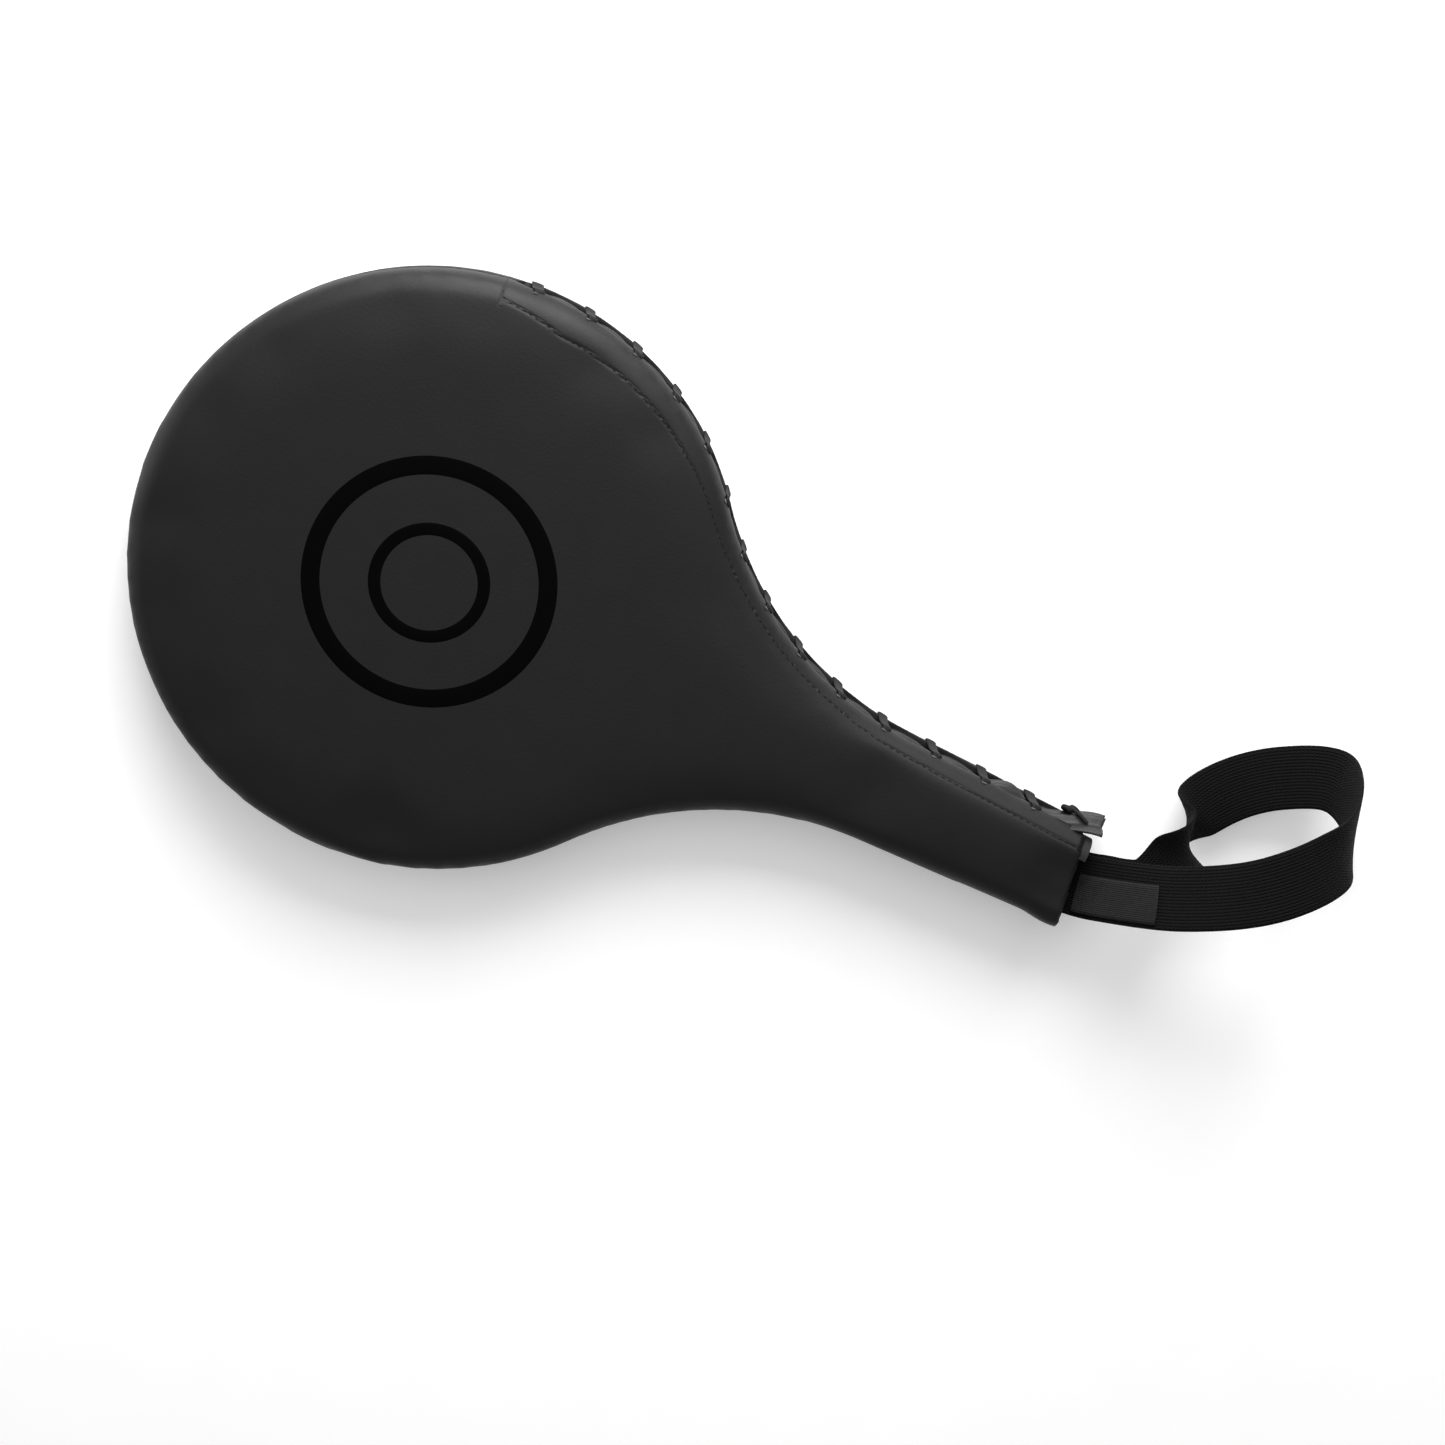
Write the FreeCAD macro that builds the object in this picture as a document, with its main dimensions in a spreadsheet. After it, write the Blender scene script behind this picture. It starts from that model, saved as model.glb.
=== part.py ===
import FreeCAD, Part
import math
import os

import Sketcher
from FreeCAD import Placement, Rotation, Vector

# A padded striking paddle, lying on its back: a round head, a concave neck and a tapering handle.
# The origin is the centre of the head on the back face. +X runs down the handle, +Y is the laced side
# and +Z points out of the front face. All lengths are millimetres and all angles degrees.

SIZES = {
    "head_radius": 118.0,
    "neck_radius": 137.0,
    "body_reach": 276.5,
    "end_half_width": 19.6,
    "handle_taper": 2.12,
    "body_thickness": 34.0,
    "rim_radius": 9.0,
    "cover_thickness": 1.6,
    "piece_gap": 0.05,
    "facing_thickness": 1.2,
    "facing_inset": 9.4,
    "facing_start": 100.5,
    "mouth_overrun": 2.0,
    "lace_gap": 13.0,
    "lace_start": 98.5,
    "lace_diameter": 1.8,
    "lace_hole_radius": 1.3,
    "lace_hole_height": 9.5,
    "lace_pitch": 22.22,
    "lace_depth": 4.4,
    "lace_bend": 1.7,
    "lace_stand_off": 0.3,
    "hole_overrun": 2.0,
    "first_crossing": 7.6,
    "tongue_inset": 5.95,
    "tongue_thickness": 1.2,
    "tongue_height": 25.0,
    "lace_room": 7.2,
    "firm_foam_thickness": 4.8,
    "board_thickness": 5.0,
    "core_inset": 8.0,
    "foam_reach": 273.0,
    "firm_foam_reach": 226.0,
    "board_reach": 270.0,
    "thread_width": 0.8,
    "thread_depth": 0.2,
    "thread_stand_off": 0.5,
    "seam_sweep": 259.0,
    "relief_start": 103.0,
    "mark_depth": 0.15,
    "mark_radius": 50.0,
    "mark_line": 9.0,
    "inner_mark_radius": 24.0,
    "inner_mark_line": 6.0,
    "strap_width": 25.0,
    "strap_thickness": 1.4,
    "strap_side_shift": -3.0,
    "tail_length": 44.0,
    "tail_end_gap": 4.0,
    "first_rivet": 10.0,
    "rivet_radius": 2.0,
    "rivet_head_radius": 3.6,
    "rivet_head_height": 0.8,
    "rivet_spacing": 16.0,
    "label_width": 15.5,
    "label_thickness": 0.8,
    "label_start": 16.5,
    "label_length": 42.0,
    "label_offset": 3.0,
    "label_clearance": 0.5,
    "strap_start_gap": 0.4,
    "knot_radius": 3.0,
    "knot_tail_length": 9.0,
    "start_knot_past": 3.2,
    "end_knot_past": 13.5,
}
CROSSINGS = 14
RIVETS = 2
SMALLEST_CUT = 1.0
FAR_AWAY = 200.0

# The strap's middle line, out of the handle's mouth, round the hand loop and back into the mouth.
STRAP_ROUTE = [
    (265, -6, 18), (277, -3, 19), (289, 2, 28), (311, 19, 56), (334, 40, 73), (354, 61, 66), (358, 74, 46),
    (352, 80, 22), (335, 70, 11), (320, 56, 8), (310, 41, 13), (311, 30, 25), (305, 10, 27), (289, 1, 20),
    (277, -3, 15), (265, -6, 15),
]
# The direction that the strap's width keeps to as far as its own turns allow.
STRAP_WIDTH_AXIS = (-0.27, 0.95, -0.26)
RIBBON_STATIONS = 64
LABEL_POINTS = 7
# The way the two tails leave the knot that ends the lace.
KNOT_TAIL_WAYS = [(0.9, -0.2, 0.35), (0.9, -0.2, -0.25)]

size = dict(SIZES)
doc = FreeCAD.newDocument("kick_paddle")
sheet = doc.addObject("Spreadsheet::Sheet", "Sizes")


def fill_sheet():
    """Writes every driving size as a plain number beside its name."""
    for row, (alias, value) in enumerate(SIZES.items(), start=1):
        sheet.set(f"A{row}", alias.replace("_", " "))
        sheet.set(f"B{row}", str(value))
        sheet.setAlias(f"B{row}", alias)
    doc.recompute()
    for alias in SIZES:
        size[alias] = float(sheet.get(alias))


def cell(alias):
    return f"Sizes.{alias}"


def added(aliases):
    """The sum of some cells as an expression; a minus sign before a name takes it away."""
    terms = [f"- {cell(alias[1:])}" if alias.startswith("-") else f"+ {cell(alias)}" for alias in aliases]
    return " ".join(["0"] + terms)


def total(aliases):
    return sum(-size[alias[1:]] if alias.startswith("-") else size[alias] for alias in aliases)


MIDDLE = f"{cell('body_thickness')} / 2"


# ---------------------------------------------------------------- outline geometry

class Outline:
    """The paddle's outline moved inwards by inset, with its handle cut off at reach."""

    def __init__(self, inset, reach):
        taper = math.radians(size["handle_taper"])
        self.along = Vector(math.cos(taper), -math.sin(taper), 0)
        self.out = Vector(math.sin(taper), math.cos(taper), 0)
        edge = self.out.dot(Vector(size["body_reach"], size["end_half_width"], 0))
        sum_of_radii = size["head_radius"] + size["neck_radius"]
        across = edge + size["neck_radius"]
        down = math.sqrt(sum_of_radii ** 2 - across ** 2)
        self.head = size["head_radius"] - inset
        self.neck = size["neck_radius"] + inset
        self.centre = self.out * across + self.along * down
        self.shoulder = self.centre * (self.head / sum_of_radii)
        self.throat = self.centre - self.out * self.neck
        end_height = (edge - inset - reach * math.sin(taper)) / math.cos(taper)
        self.corner = Vector(reach, end_height, 0)
        self.head_angle = math.atan2(self.shoulder.y, self.shoulder.x)
        self.neck_start = math.atan2(-self.centre.y, -self.centre.x)
        self.neck_end = math.atan2(-self.out.y, -self.out.x)


def circle_arc(centre, radius, start, end):
    return Part.ArcOfCircle(Part.Circle(centre, Vector(0, 0, 1), radius), start, end)


def end_height_expression(inset, reach):
    """Half the width at the end of a handle cut off at the cell reach."""
    widening = f"({cell('body_reach')} - ({reach})) * tan({cell('handle_taper')} * 1 deg)"
    return f"{cell('end_half_width')} + {widening} - ({inset}) / cos({cell('handle_taper')} * 1 deg)"


def origin_plane(body, role):
    return next(feature for feature in body.Origin.OriginFeatures if feature.Role == role)


def new_sketch(body, name, height):
    """A sketch on the body's XY plane, lifted by the expression height."""
    sketch = body.newObject("Sketcher::SketchObject", name)
    sketch.AttachmentSupport = [(origin_plane(body, "XY_Plane"), "")]
    sketch.MapMode = "FlatFace"
    sketch.setExpression(".AttachmentOffset.Base.z", height)
    return sketch


def name_constraint(sketch, name, expression, kind, *where):
    """Adds one dimension and binds it to the sheet."""
    index = sketch.addConstraint(Sketcher.Constraint(kind, *where))
    sketch.renameConstraint(index, name)
    sketch.setExpression(f"Constraints.{name}", expression)


def join_tangent(sketch, first, first_end, second, second_end):
    sketch.addConstraint(Sketcher.Constraint("Tangent", first, first_end, second, second_end))


def join(sketch, first, first_end, second, second_end):
    sketch.addConstraint(Sketcher.Constraint("Coincident", first, first_end, second, second_end))


def outline_sketch(body, name, height, inset_cells, reach_cells):
    """The whole closed outline, moved inwards by the sum of some cells."""
    inset = added(inset_cells)
    reach = added(reach_cells)
    shape = Outline(total(inset_cells), total(reach_cells))
    low_centre = Vector(shape.centre.x, -shape.centre.y, 0)
    low_throat = Vector(shape.throat.x, -shape.throat.y, 0)
    low_corner = Vector(shape.corner.x, -shape.corner.y, 0)
    sketch = new_sketch(body, name, height)
    head, neck, edge, end, low_edge, low_neck = range(6)
    sketch.addGeometry([
        circle_arc(Vector(0, 0, 0), shape.head, shape.head_angle, 2 * math.pi - shape.head_angle),
        circle_arc(shape.centre, shape.neck, shape.neck_start, shape.neck_end),
        Part.LineSegment(shape.throat, shape.corner),
        Part.LineSegment(shape.corner, low_corner),
        Part.LineSegment(low_corner, low_throat),
        circle_arc(low_centre, shape.neck, -shape.neck_end, -shape.neck_start),
    ], False)
    join_tangent(sketch, head, 1, neck, 1)
    join_tangent(sketch, neck, 2, edge, 1)
    join(sketch, edge, 2, end, 1)
    join(sketch, end, 2, low_edge, 1)
    join_tangent(sketch, low_edge, 2, low_neck, 1)
    join_tangent(sketch, low_neck, 2, head, 2)
    join(sketch, head, 3, -1, 1)
    sketch.addConstraint(Sketcher.Constraint("Symmetric", end, 1, end, 2, -1))
    sketch.addConstraint(Sketcher.Constraint("Symmetric", edge, 1, low_edge, 2, -1))
    name_constraint(sketch, "head", f"{cell('head_radius')} - ({inset})", "Radius", head, shape.head)
    name_constraint(sketch, "neck", f"{cell('neck_radius')} + ({inset})", "Radius", neck, shape.neck)
    name_constraint(sketch, "reach", reach, "DistanceX", -1, 1, end, 1, shape.corner.x)
    name_constraint(sketch, "end_width", end_height_expression(inset, reach),
                    "DistanceY", -1, 1, end, 1, shape.corner.y)
    name_constraint(sketch, "taper", f"-{cell('handle_taper')} * 1 deg",
                    "Angle", edge, -math.radians(size["handle_taper"]))
    return sketch


def strip_sketch(body, name, height, outer_cells, inner_cells, start_cells, reach_cells):
    """A band along one side, between two insets, from an angle on the head to the handle's end."""
    reach = added(reach_cells)
    start = math.radians(total(start_cells))
    outer = Outline(total(outer_cells), total(reach_cells))
    inner = Outline(total(inner_cells), total(reach_cells))
    direction = Vector(math.cos(start), math.sin(start), 0)
    sketch = new_sketch(body, name, height)
    for shape in (outer, inner):
        sketch.addGeometry([
            circle_arc(Vector(0, 0, 0), shape.head, shape.head_angle, start),
            circle_arc(shape.centre, shape.neck, shape.neck_start, shape.neck_end),
            Part.LineSegment(shape.throat, shape.corner),
        ], False)
    sketch.addGeometry([
        Part.LineSegment(direction * inner.head, direction * outer.head),
        Part.LineSegment(outer.corner, inner.corner),
    ], False)
    start_line, end_line = 6, 7
    for side, cells, shape in (("outer", outer_cells, outer), ("inner", inner_cells, inner)):
        head, neck, edge = (0, 1, 2) if side == "outer" else (3, 4, 5)
        inset = added(cells)
        head_size = f"{cell('head_radius')} - ({inset})"
        neck_size = f"{cell('neck_radius')} + ({inset})"
        join_tangent(sketch, head, 1, neck, 1)
        join_tangent(sketch, neck, 2, edge, 1)
        join(sketch, head, 3, -1, 1)
        name_constraint(sketch, f"{side}_head", head_size, "Radius", head, shape.head)
        name_constraint(sketch, f"{side}_neck", neck_size, "Radius", neck, shape.neck)
        name_constraint(sketch, f"{side}_end", end_height_expression(inset, reach),
                        "DistanceY", -1, 1, edge, 2, shape.corner.y)
        name_constraint(sketch, f"{side}_taper", f"-{cell('handle_taper')} * 1 deg",
                        "Angle", edge, -math.radians(size["handle_taper"]))
    join(sketch, start_line, 1, 3, 2)
    join(sketch, start_line, 2, 0, 2)
    join(sketch, end_line, 1, 2, 2)
    join(sketch, end_line, 2, 5, 2)
    sketch.addConstraint(Sketcher.Constraint("Vertical", end_line))
    sketch.addConstraint(Sketcher.Constraint("PointOnObject", -1, 1, start_line))
    name_constraint(sketch, "reach", reach, "DistanceX", -1, 1, 2, 2, outer.corner.x)
    name_constraint(sketch, "start", f"({added(start_cells)}) * 1 deg", "Angle", start_line, start)
    return sketch


# ---------------------------------------------------------------- solid helpers

def new_body(label):
    body = doc.addObject("PartDesign::Body", label)
    body.Label = label
    return body


def pad(body, sketch, length):
    feature = body.newObject("PartDesign::Pad", sketch.Name + "_pad")
    feature.Profile = sketch
    feature.setExpression("Length", length)
    sketch.Visibility = False
    doc.recompute()
    return feature


def pocket_up(body, sketch, length):
    """Cuts from the sketch towards +Z, and stops if nothing was cut."""
    before = body.Shape.Volume
    feature = body.newObject("PartDesign::Pocket", sketch.Name + "_pocket")
    feature.Profile = sketch
    feature.Reversed = True
    feature.setExpression("Length", length)
    doc.recompute()
    if not body.Shape.Volume < before - SMALLEST_CUT:
        raise RuntimeError(f"{body.Label}: {sketch.Name} cut nothing")
    return feature


def round_rim(body, base, height, radius):
    """Rounds the long edges at one height and leaves the edge at the handle's end sharp."""
    names = []
    for number, edge in enumerate(base.Shape.Edges, start=1):
        box = edge.BoundBox
        level = abs(box.ZMin - height) < 1e-4 and abs(box.ZMax - height) < 1e-4
        across_end = box.XLength < 1e-4
        if level and not across_end:
            names.append(f"Edge{number}")
    feature = body.newObject("PartDesign::Fillet", base.Name + "_round")
    feature.Base = (base, names)
    feature.setExpression("Radius", radius)
    doc.recompute()
    return feature


def named(kind, label):
    piece = doc.addObject(kind, label)
    piece.Label = label
    return piece


def cut(label, base, tool):
    piece = named("Part::Cut", label)
    piece.Base = base
    piece.Tool = tool
    return piece


def common(label, base, tool):
    piece = named("Part::Common", label)
    piece.Base = base
    piece.Tool = tool
    return piece


def to_back(label, source):
    """The mirror image of a front piece in the middle plane of the thickness."""
    piece = named("Part::Mirroring", label)
    piece.Source = source
    piece.Normal = Vector(0, 0, 1)
    piece.setExpression("Base.z", f"{cell('body_thickness')} / 2")
    return piece


def solid_feature(label, shape):
    piece = named("Part::Feature", label)
    piece.Shape = shape
    return piece


def rounded_block(label, base, inset_cells, reach_cells):
    """The front half of the outline's solid from the expression base up, with its long rim rounded."""
    inset = added(inset_cells)
    body = new_body(label)
    sketch = outline_sketch(body, label + "_sketch", base, inset_cells, reach_cells)
    block = pad(body, sketch, f"{cell('body_thickness')} - ({inset}) - ({base})")
    top = size["body_thickness"] - total(inset_cells)
    round_rim(body, block, top, f"{cell('rim_radius')} - ({inset})")
    return body


def skin(label, outer_cells, thickness_cell):
    """Half of a shell: a face with a rounded rim and the front half of the side, open at the handle's end."""
    outer = rounded_block(label + "_outside", MIDDLE, outer_cells, ["body_reach"])
    inner = rounded_block(label + "_inside", MIDDLE, outer_cells + [thickness_cell],
                          ["body_reach", "mouth_overrun"])
    return cut(label, outer, inner)


def lace_opening(label):
    """Everything within half the lace gap of the middle plane on the laced side, from the lacing's start."""
    body = new_body(label)
    sketch = strip_sketch(body, label + "_sketch", MIDDLE, [], ["lace_room"], ["lace_start"],
                          ["body_reach", "mouth_overrun"])
    pad(body, sketch, f"{cell('lace_gap')} / 2")
    return body


# ---------------------------------------------------------------- the laced side as a path

def side_point(distance, depth):
    """A point distance along the laced side from the lacing's start and depth below its surface."""
    shape = Outline(0.0, size["body_reach"])
    start = math.radians(size["lace_start"])
    head_length = shape.head * (start - shape.head_angle)
    neck_length = shape.neck * (shape.neck_end - shape.neck_start)
    if distance < head_length:
        angle = start - distance / shape.head
        outward = Vector(math.cos(angle), math.sin(angle), 0)
        return outward * (shape.head - depth), outward
    if distance < head_length + neck_length:
        angle = shape.neck_start + (distance - head_length) / shape.neck
        outward = Vector(-math.cos(angle), -math.sin(angle), 0)
        return shape.centre - outward * (shape.neck + depth), outward
    past = distance - head_length - neck_length
    return shape.throat + shape.along * past - shape.out * depth, shape.out


def crossing_distance(index):
    return size["first_crossing"] + index * size["lace_pitch"]


def lace_hole_cutters():
    """One short cylinder through the cover and its facing for every lace hole of the front half."""
    holes = []
    depth = size["lace_depth"]
    length = depth + size["hole_overrun"]
    for index in range(CROSSINGS):
        point, outward = side_point(crossing_distance(index), depth)
        point.z = size["body_thickness"] / 2 + size["lace_hole_height"]
        holes.append(Part.makeCylinder(size["lace_hole_radius"], length, point, outward))
    return solid_feature("lace_hole_cutters", Part.makeCompound(holes))


def rounded_path(points, radius):
    """Straight runs through the points, joined by arcs of one radius."""
    edges = []
    start = points[0]
    for before, corner, after in zip(points, points[1:], points[2:]):
        towards_before = (before - corner).normalize()
        towards_after = (after - corner).normalize()
        half_angle = towards_before.getAngle(towards_after) / 2
        tangent = radius / math.tan(half_angle)
        arc_start = corner + towards_before * tangent
        arc_end = corner + towards_after * tangent
        inwards = (towards_before + towards_after).normalize()
        centre = corner + inwards * (radius / math.sin(half_angle))
        arc_middle = centre - inwards * radius
        edges.append(Part.LineSegment(start, arc_start).toShape())
        edges.append(Part.Arc(arc_start, arc_middle, arc_end).toShape())
        start = arc_end
    edges.append(Part.LineSegment(start, points[-1]).toShape())
    return Part.Wire(edges)


def side_lace():
    """One lace: straight across outside at each crossing, then slanting inside to the next one."""
    middle = size["body_thickness"] / 2
    above = Vector(0, 0, middle + size["lace_hole_height"])
    below = Vector(0, 0, middle - size["lace_hole_height"])
    outside = -(size["lace_diameter"] / 2 + size["lace_stand_off"])
    points = []
    for index in range(CROSSINGS):
        distance = crossing_distance(index)
        inner, _ = side_point(distance, size["lace_depth"])
        outer, _ = side_point(distance, outside)
        points += [inner + above, outer + above, outer + below, inner + below]
    path = rounded_path(points, size["lace_bend"])
    first = path.Edges[0]
    profile = Part.Wire(Part.makeCircle(size["lace_diameter"] / 2, first.valueAt(first.FirstParameter),
                                        first.tangentAt(first.FirstParameter)))
    lace = path.makePipeShell([profile], True, True)
    section = math.pi * size["lace_diameter"] ** 2 / 4
    print(f"side_lace: path {path.Length:.1f}, volume {lace.Volume:.1f} of {section * path.Length:.1f}")
    return solid_feature("side_lace", lace)


def lace_knots():
    """A round start knot on the tongue and an end knot with two short tails at the handle's end."""
    middle = size["body_thickness"] / 2
    radius = size["knot_radius"]
    knot_depth = size["tongue_inset"] - radius - size["piece_gap"]
    start_point, _ = side_point(size["start_knot_past"], knot_depth)
    start_point.z = middle
    start_knot = named("Part::Sphere", "lace_start_knot")
    start_knot.setExpression("Radius", cell("knot_radius"))
    start_knot.Placement = Placement(start_point, Rotation())
    end_distance = crossing_distance(CROSSINGS - 1) + size["end_knot_past"]
    end_point, _ = side_point(end_distance, -radius)
    end_point.z = middle
    pieces = [Part.makeSphere(radius, end_point)]
    for way in KNOT_TAIL_WAYS:
        direction = Vector(*way).normalize()
        tail_start = end_point + direction * (radius + size["piece_gap"])
        pieces.append(Part.makeCylinder(size["lace_diameter"] / 2, size["knot_tail_length"],
                                        tail_start, direction))
    solid_feature("lace_end_knot", Part.makeCompound(pieces))


# ---------------------------------------------------------------- covers and what is sewn to them

def covers(cutters, thread, mark):
    """The two leather shells, with the lacing's open side and its holes, and beds for thread and print."""
    shell = skin("cover_skin", [], "cover_thickness")
    open_side = cut("cover_open_side", shell, lace_opening("lace_opening"))
    holed = cut("cover_with_holes", open_side, cutters)
    stitched = cut("cover_with_thread_bed", holed, thread)
    front = cut("front_cover", stitched, mark)
    to_back("back_cover", front)


def facings(cutters):
    """A leather strip inside each cover that doubles it along the lace holes."""
    lining = skin("facing_skin", ["cover_thickness", "piece_gap"], "facing_thickness")
    zone = new_body("facing_zone")
    zone_height = f"{MIDDLE} + {cell('lace_gap')} / 2"
    sketch = strip_sketch(zone, "facing_zone_sketch", zone_height, [], ["facing_inset"], ["facing_start"],
                          ["body_reach"])
    pad(zone, sketch, MIDDLE)
    strip = common("facing_strip", lining, zone)
    front = cut("front_facing", strip, cutters)
    to_back("back_facing", front)


def rim_seam():
    """The seam round the middle of the plain side."""
    seam = new_body("rim_seam_thread")
    seam_height = f"{MIDDLE} - {cell('thread_width')} / 2"
    sketch = strip_sketch(seam, "rim_seam_sketch", seam_height, ["-thread_stand_off"], [], ["seam_sweep"],
                          ["body_reach"])
    pad(seam, sketch, cell("thread_width"))
    seam.Placement = Placement(Vector(0, 0, size["body_thickness"]), Rotation(Vector(1, 0, 0), 180))


def facing_threads():
    """The row on each face that holds a facing, sunk flush with the leather."""
    row = new_body("front_facing_thread")
    row_height = f"{cell('body_thickness')} - {cell('thread_depth')}"
    sketch = strip_sketch(row, "facing_thread_sketch", row_height, ["facing_inset"],
                          ["facing_inset", "thread_width"], ["facing_start"], ["body_reach"])
    pad(row, sketch, cell("thread_depth"))
    to_back("back_facing_thread", row)
    return row


def lace_tongue():
    """The liner strip that shows between the two edges of the cover."""
    body = new_body("lace_tongue")
    sketch = strip_sketch(body, "tongue_sketch", f"{MIDDLE} - {cell('tongue_height')} / 2", ["tongue_inset"],
                          ["tongue_inset", "tongue_thickness"], ["facing_start"], ["body_reach"])
    pad(body, sketch, cell("tongue_height"))


def printed_ring(name, radius_cell, line_cell):
    """A flat ring whose upper side is flush with the front face."""
    discs = []
    for part, radius in (("outer", cell(radius_cell)), ("inner", f"{cell(radius_cell)} - {cell(line_cell)}")):
        disc = named("Part::Cylinder", f"{name}_{part}")
        disc.setExpression("Radius", radius)
        disc.setExpression("Height", cell("mark_depth"))
        disc.setExpression("Placement.Base.z", f"{cell('body_thickness')} - {cell('mark_depth')}")
        discs.append(disc)
    return cut(name, *discs)


def marks():
    """Two plain rings printed on each face."""
    front = named("Part::Compound", "front_mark")
    front.Links = [
        printed_ring("outer_ring", "mark_radius", "mark_line"),
        printed_ring("inner_ring", "inner_mark_radius", "inner_mark_line"),
    ]
    to_back("back_mark", front)
    return front


# ---------------------------------------------------------------- padding and board

def foam_reliefs():
    """The room that the lacing and the facings take out of the foam."""
    channel = new_body("lace_channel")
    sketch = strip_sketch(channel, "lace_channel_sketch", "0", [], ["lace_room"], ["relief_start"],
                          ["body_reach"])
    pad(channel, sketch, cell("body_thickness"))
    shelf = new_body("facing_shelf")
    doubled = added(["cover_thickness", "facing_thickness", "piece_gap", "piece_gap"])
    sketch = strip_sketch(shelf, "facing_shelf_sketch", f"{cell('body_thickness')} - ({doubled})", [],
                          ["facing_inset", "piece_gap"], ["relief_start"], ["body_reach"])
    pad(shelf, sketch, doubled)
    relief = named("Part::Fuse", "foam_relief")
    relief.Base = channel
    relief.Tool = shelf
    return relief, channel


def padding(rivets):
    """Soft foam, firm foam and the board, one on the other, with a foam band round the rim."""
    relief, channel = foam_reliefs()
    gap = cell("piece_gap")
    board_half = f"{cell('board_thickness')} / 2"
    firm_height = f"{MIDDLE} + {board_half} + {gap}"
    soft_height = f"{firm_height} + {cell('firm_foam_thickness')} + {gap}"
    skin_cells = ["cover_thickness", "piece_gap"]

    soft = rounded_block("soft_foam_block", soft_height, skin_cells, ["foam_reach"])
    front_soft = cut("front_soft_foam", soft, relief)
    to_back("back_soft_foam", front_soft)

    firm = new_body("front_firm_foam")
    sketch = outline_sketch(firm, "firm_foam_sketch", firm_height, ["core_inset"], ["firm_foam_reach"])
    pad(firm, sketch, cell("firm_foam_thickness"))
    to_back("back_firm_foam", firm)

    board = new_body("board_blank")
    sketch = outline_sketch(board, "core_board_sketch", f"{MIDDLE} - {board_half}", ["core_inset"],
                            ["board_reach"])
    pad(board, sketch, cell("board_thickness"))
    cut("core_board", board, rivets)

    band = new_body("edge_foam_block")
    stack = f"{cell('board_thickness')} + 2 * ({cell('firm_foam_thickness')} + {gap})"
    sketch = outline_sketch(band, "edge_foam_sketch", f"{MIDDLE} - ({stack}) / 2", skin_cells,
                            ["firm_foam_reach"])
    pad(band, sketch, stack)
    core = outline_sketch(band, "edge_foam_core", f"{MIDDLE} - ({stack}) / 2",
                          ["core_inset", "-piece_gap"], ["body_reach"])
    pocket_up(band, core, stack)
    cut("edge_foam", band, channel)


# ---------------------------------------------------------------- strap

def tail_corner(lift):
    """The inner corner of a tail whose underside is lift above the middle plane."""
    inner_end = size["body_reach"] - size["tail_end_gap"] - size["tail_length"]
    edge = size["strap_side_shift"] - size["strap_width"] / 2
    return Vector(inner_end, edge, size["body_thickness"] / 2 + lift)


def strap_tails(rivets):
    """The strap's two ends inside the handle, one on each side of the board."""
    tails = []
    gap = size["board_thickness"] / 2 + size["piece_gap"]
    for name, lift in (("front_tail", gap), ("back_tail", -gap - size["strap_thickness"])):
        tail = named("Part::Box", name)
        tail.setExpression("Length", cell("tail_length"))
        tail.setExpression("Width", cell("strap_width"))
        tail.setExpression("Height", cell("strap_thickness"))
        tail.Placement = Placement(tail_corner(lift), Rotation())
        tails.append(tail)
    pair = named("Part::Compound", "tail_pair")
    pair.Links = tails
    cut("strap_tails", pair, rivets)


def strap_rivets():
    """Two flat-headed rivets through the tails and the board."""
    grip = size["board_thickness"] / 2 + size["piece_gap"] + size["strap_thickness"]
    head = size["rivet_head_height"]
    shanks = []
    for index in range(RIVETS):
        along = size["first_rivet"] + index * size["rivet_spacing"]
        foot = tail_corner(-grip) + Vector(along, size["strap_width"] / 2, 0)
        shank = Part.makeCylinder(size["rivet_radius"], 2 * grip, foot)
        low_head = Part.makeCylinder(size["rivet_head_radius"], head, foot - Vector(0, 0, head))
        high_head = Part.makeCylinder(size["rivet_head_radius"], head, foot + Vector(0, 0, 2 * grip))
        shanks.append(shank.multiFuse([low_head, high_head]).removeSplitter())
    return solid_feature("strap_rivets", Part.makeCompound(shanks))


def spline_through(points):
    curve = Part.BSplineCurve()
    curve.interpolate(points)
    return curve


def ribbon(middle_line, width, thickness):
    """A flat band along a line, whose width turns as little as it can from one direction."""
    first, last = middle_line.FirstParameter, middle_line.LastParameter
    parameters = [first + (last - first) * index / (RIBBON_STATIONS - 1) for index in range(RIBBON_STATIONS)]
    centres = [middle_line.value(parameter) for parameter in parameters]
    tangents = [Vector(*middle_line.tangent(parameter)[0]) for parameter in parameters]
    across = [square_to(Vector(*STRAP_WIDTH_AXIS), tangent) for tangent in tangents]
    sections = []
    for centre, way, tangent in zip(centres, across, tangents):
        half_width = way * (width / 2)
        half_thickness = tangent.cross(way) * (thickness / 2)
        corners = [
            centre + half_width + half_thickness,
            centre + half_width - half_thickness,
            centre - half_width - half_thickness,
            centre - half_width + half_thickness,
        ]
        sections.append(Part.makePolygon(corners + corners[:1]))
    return Part.makeLoft(sections, True, True)


def square_to(direction, tangent):
    """The part of a direction that is square to a tangent, at length one."""
    return (direction - tangent * direction.dot(tangent)).normalize()


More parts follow.
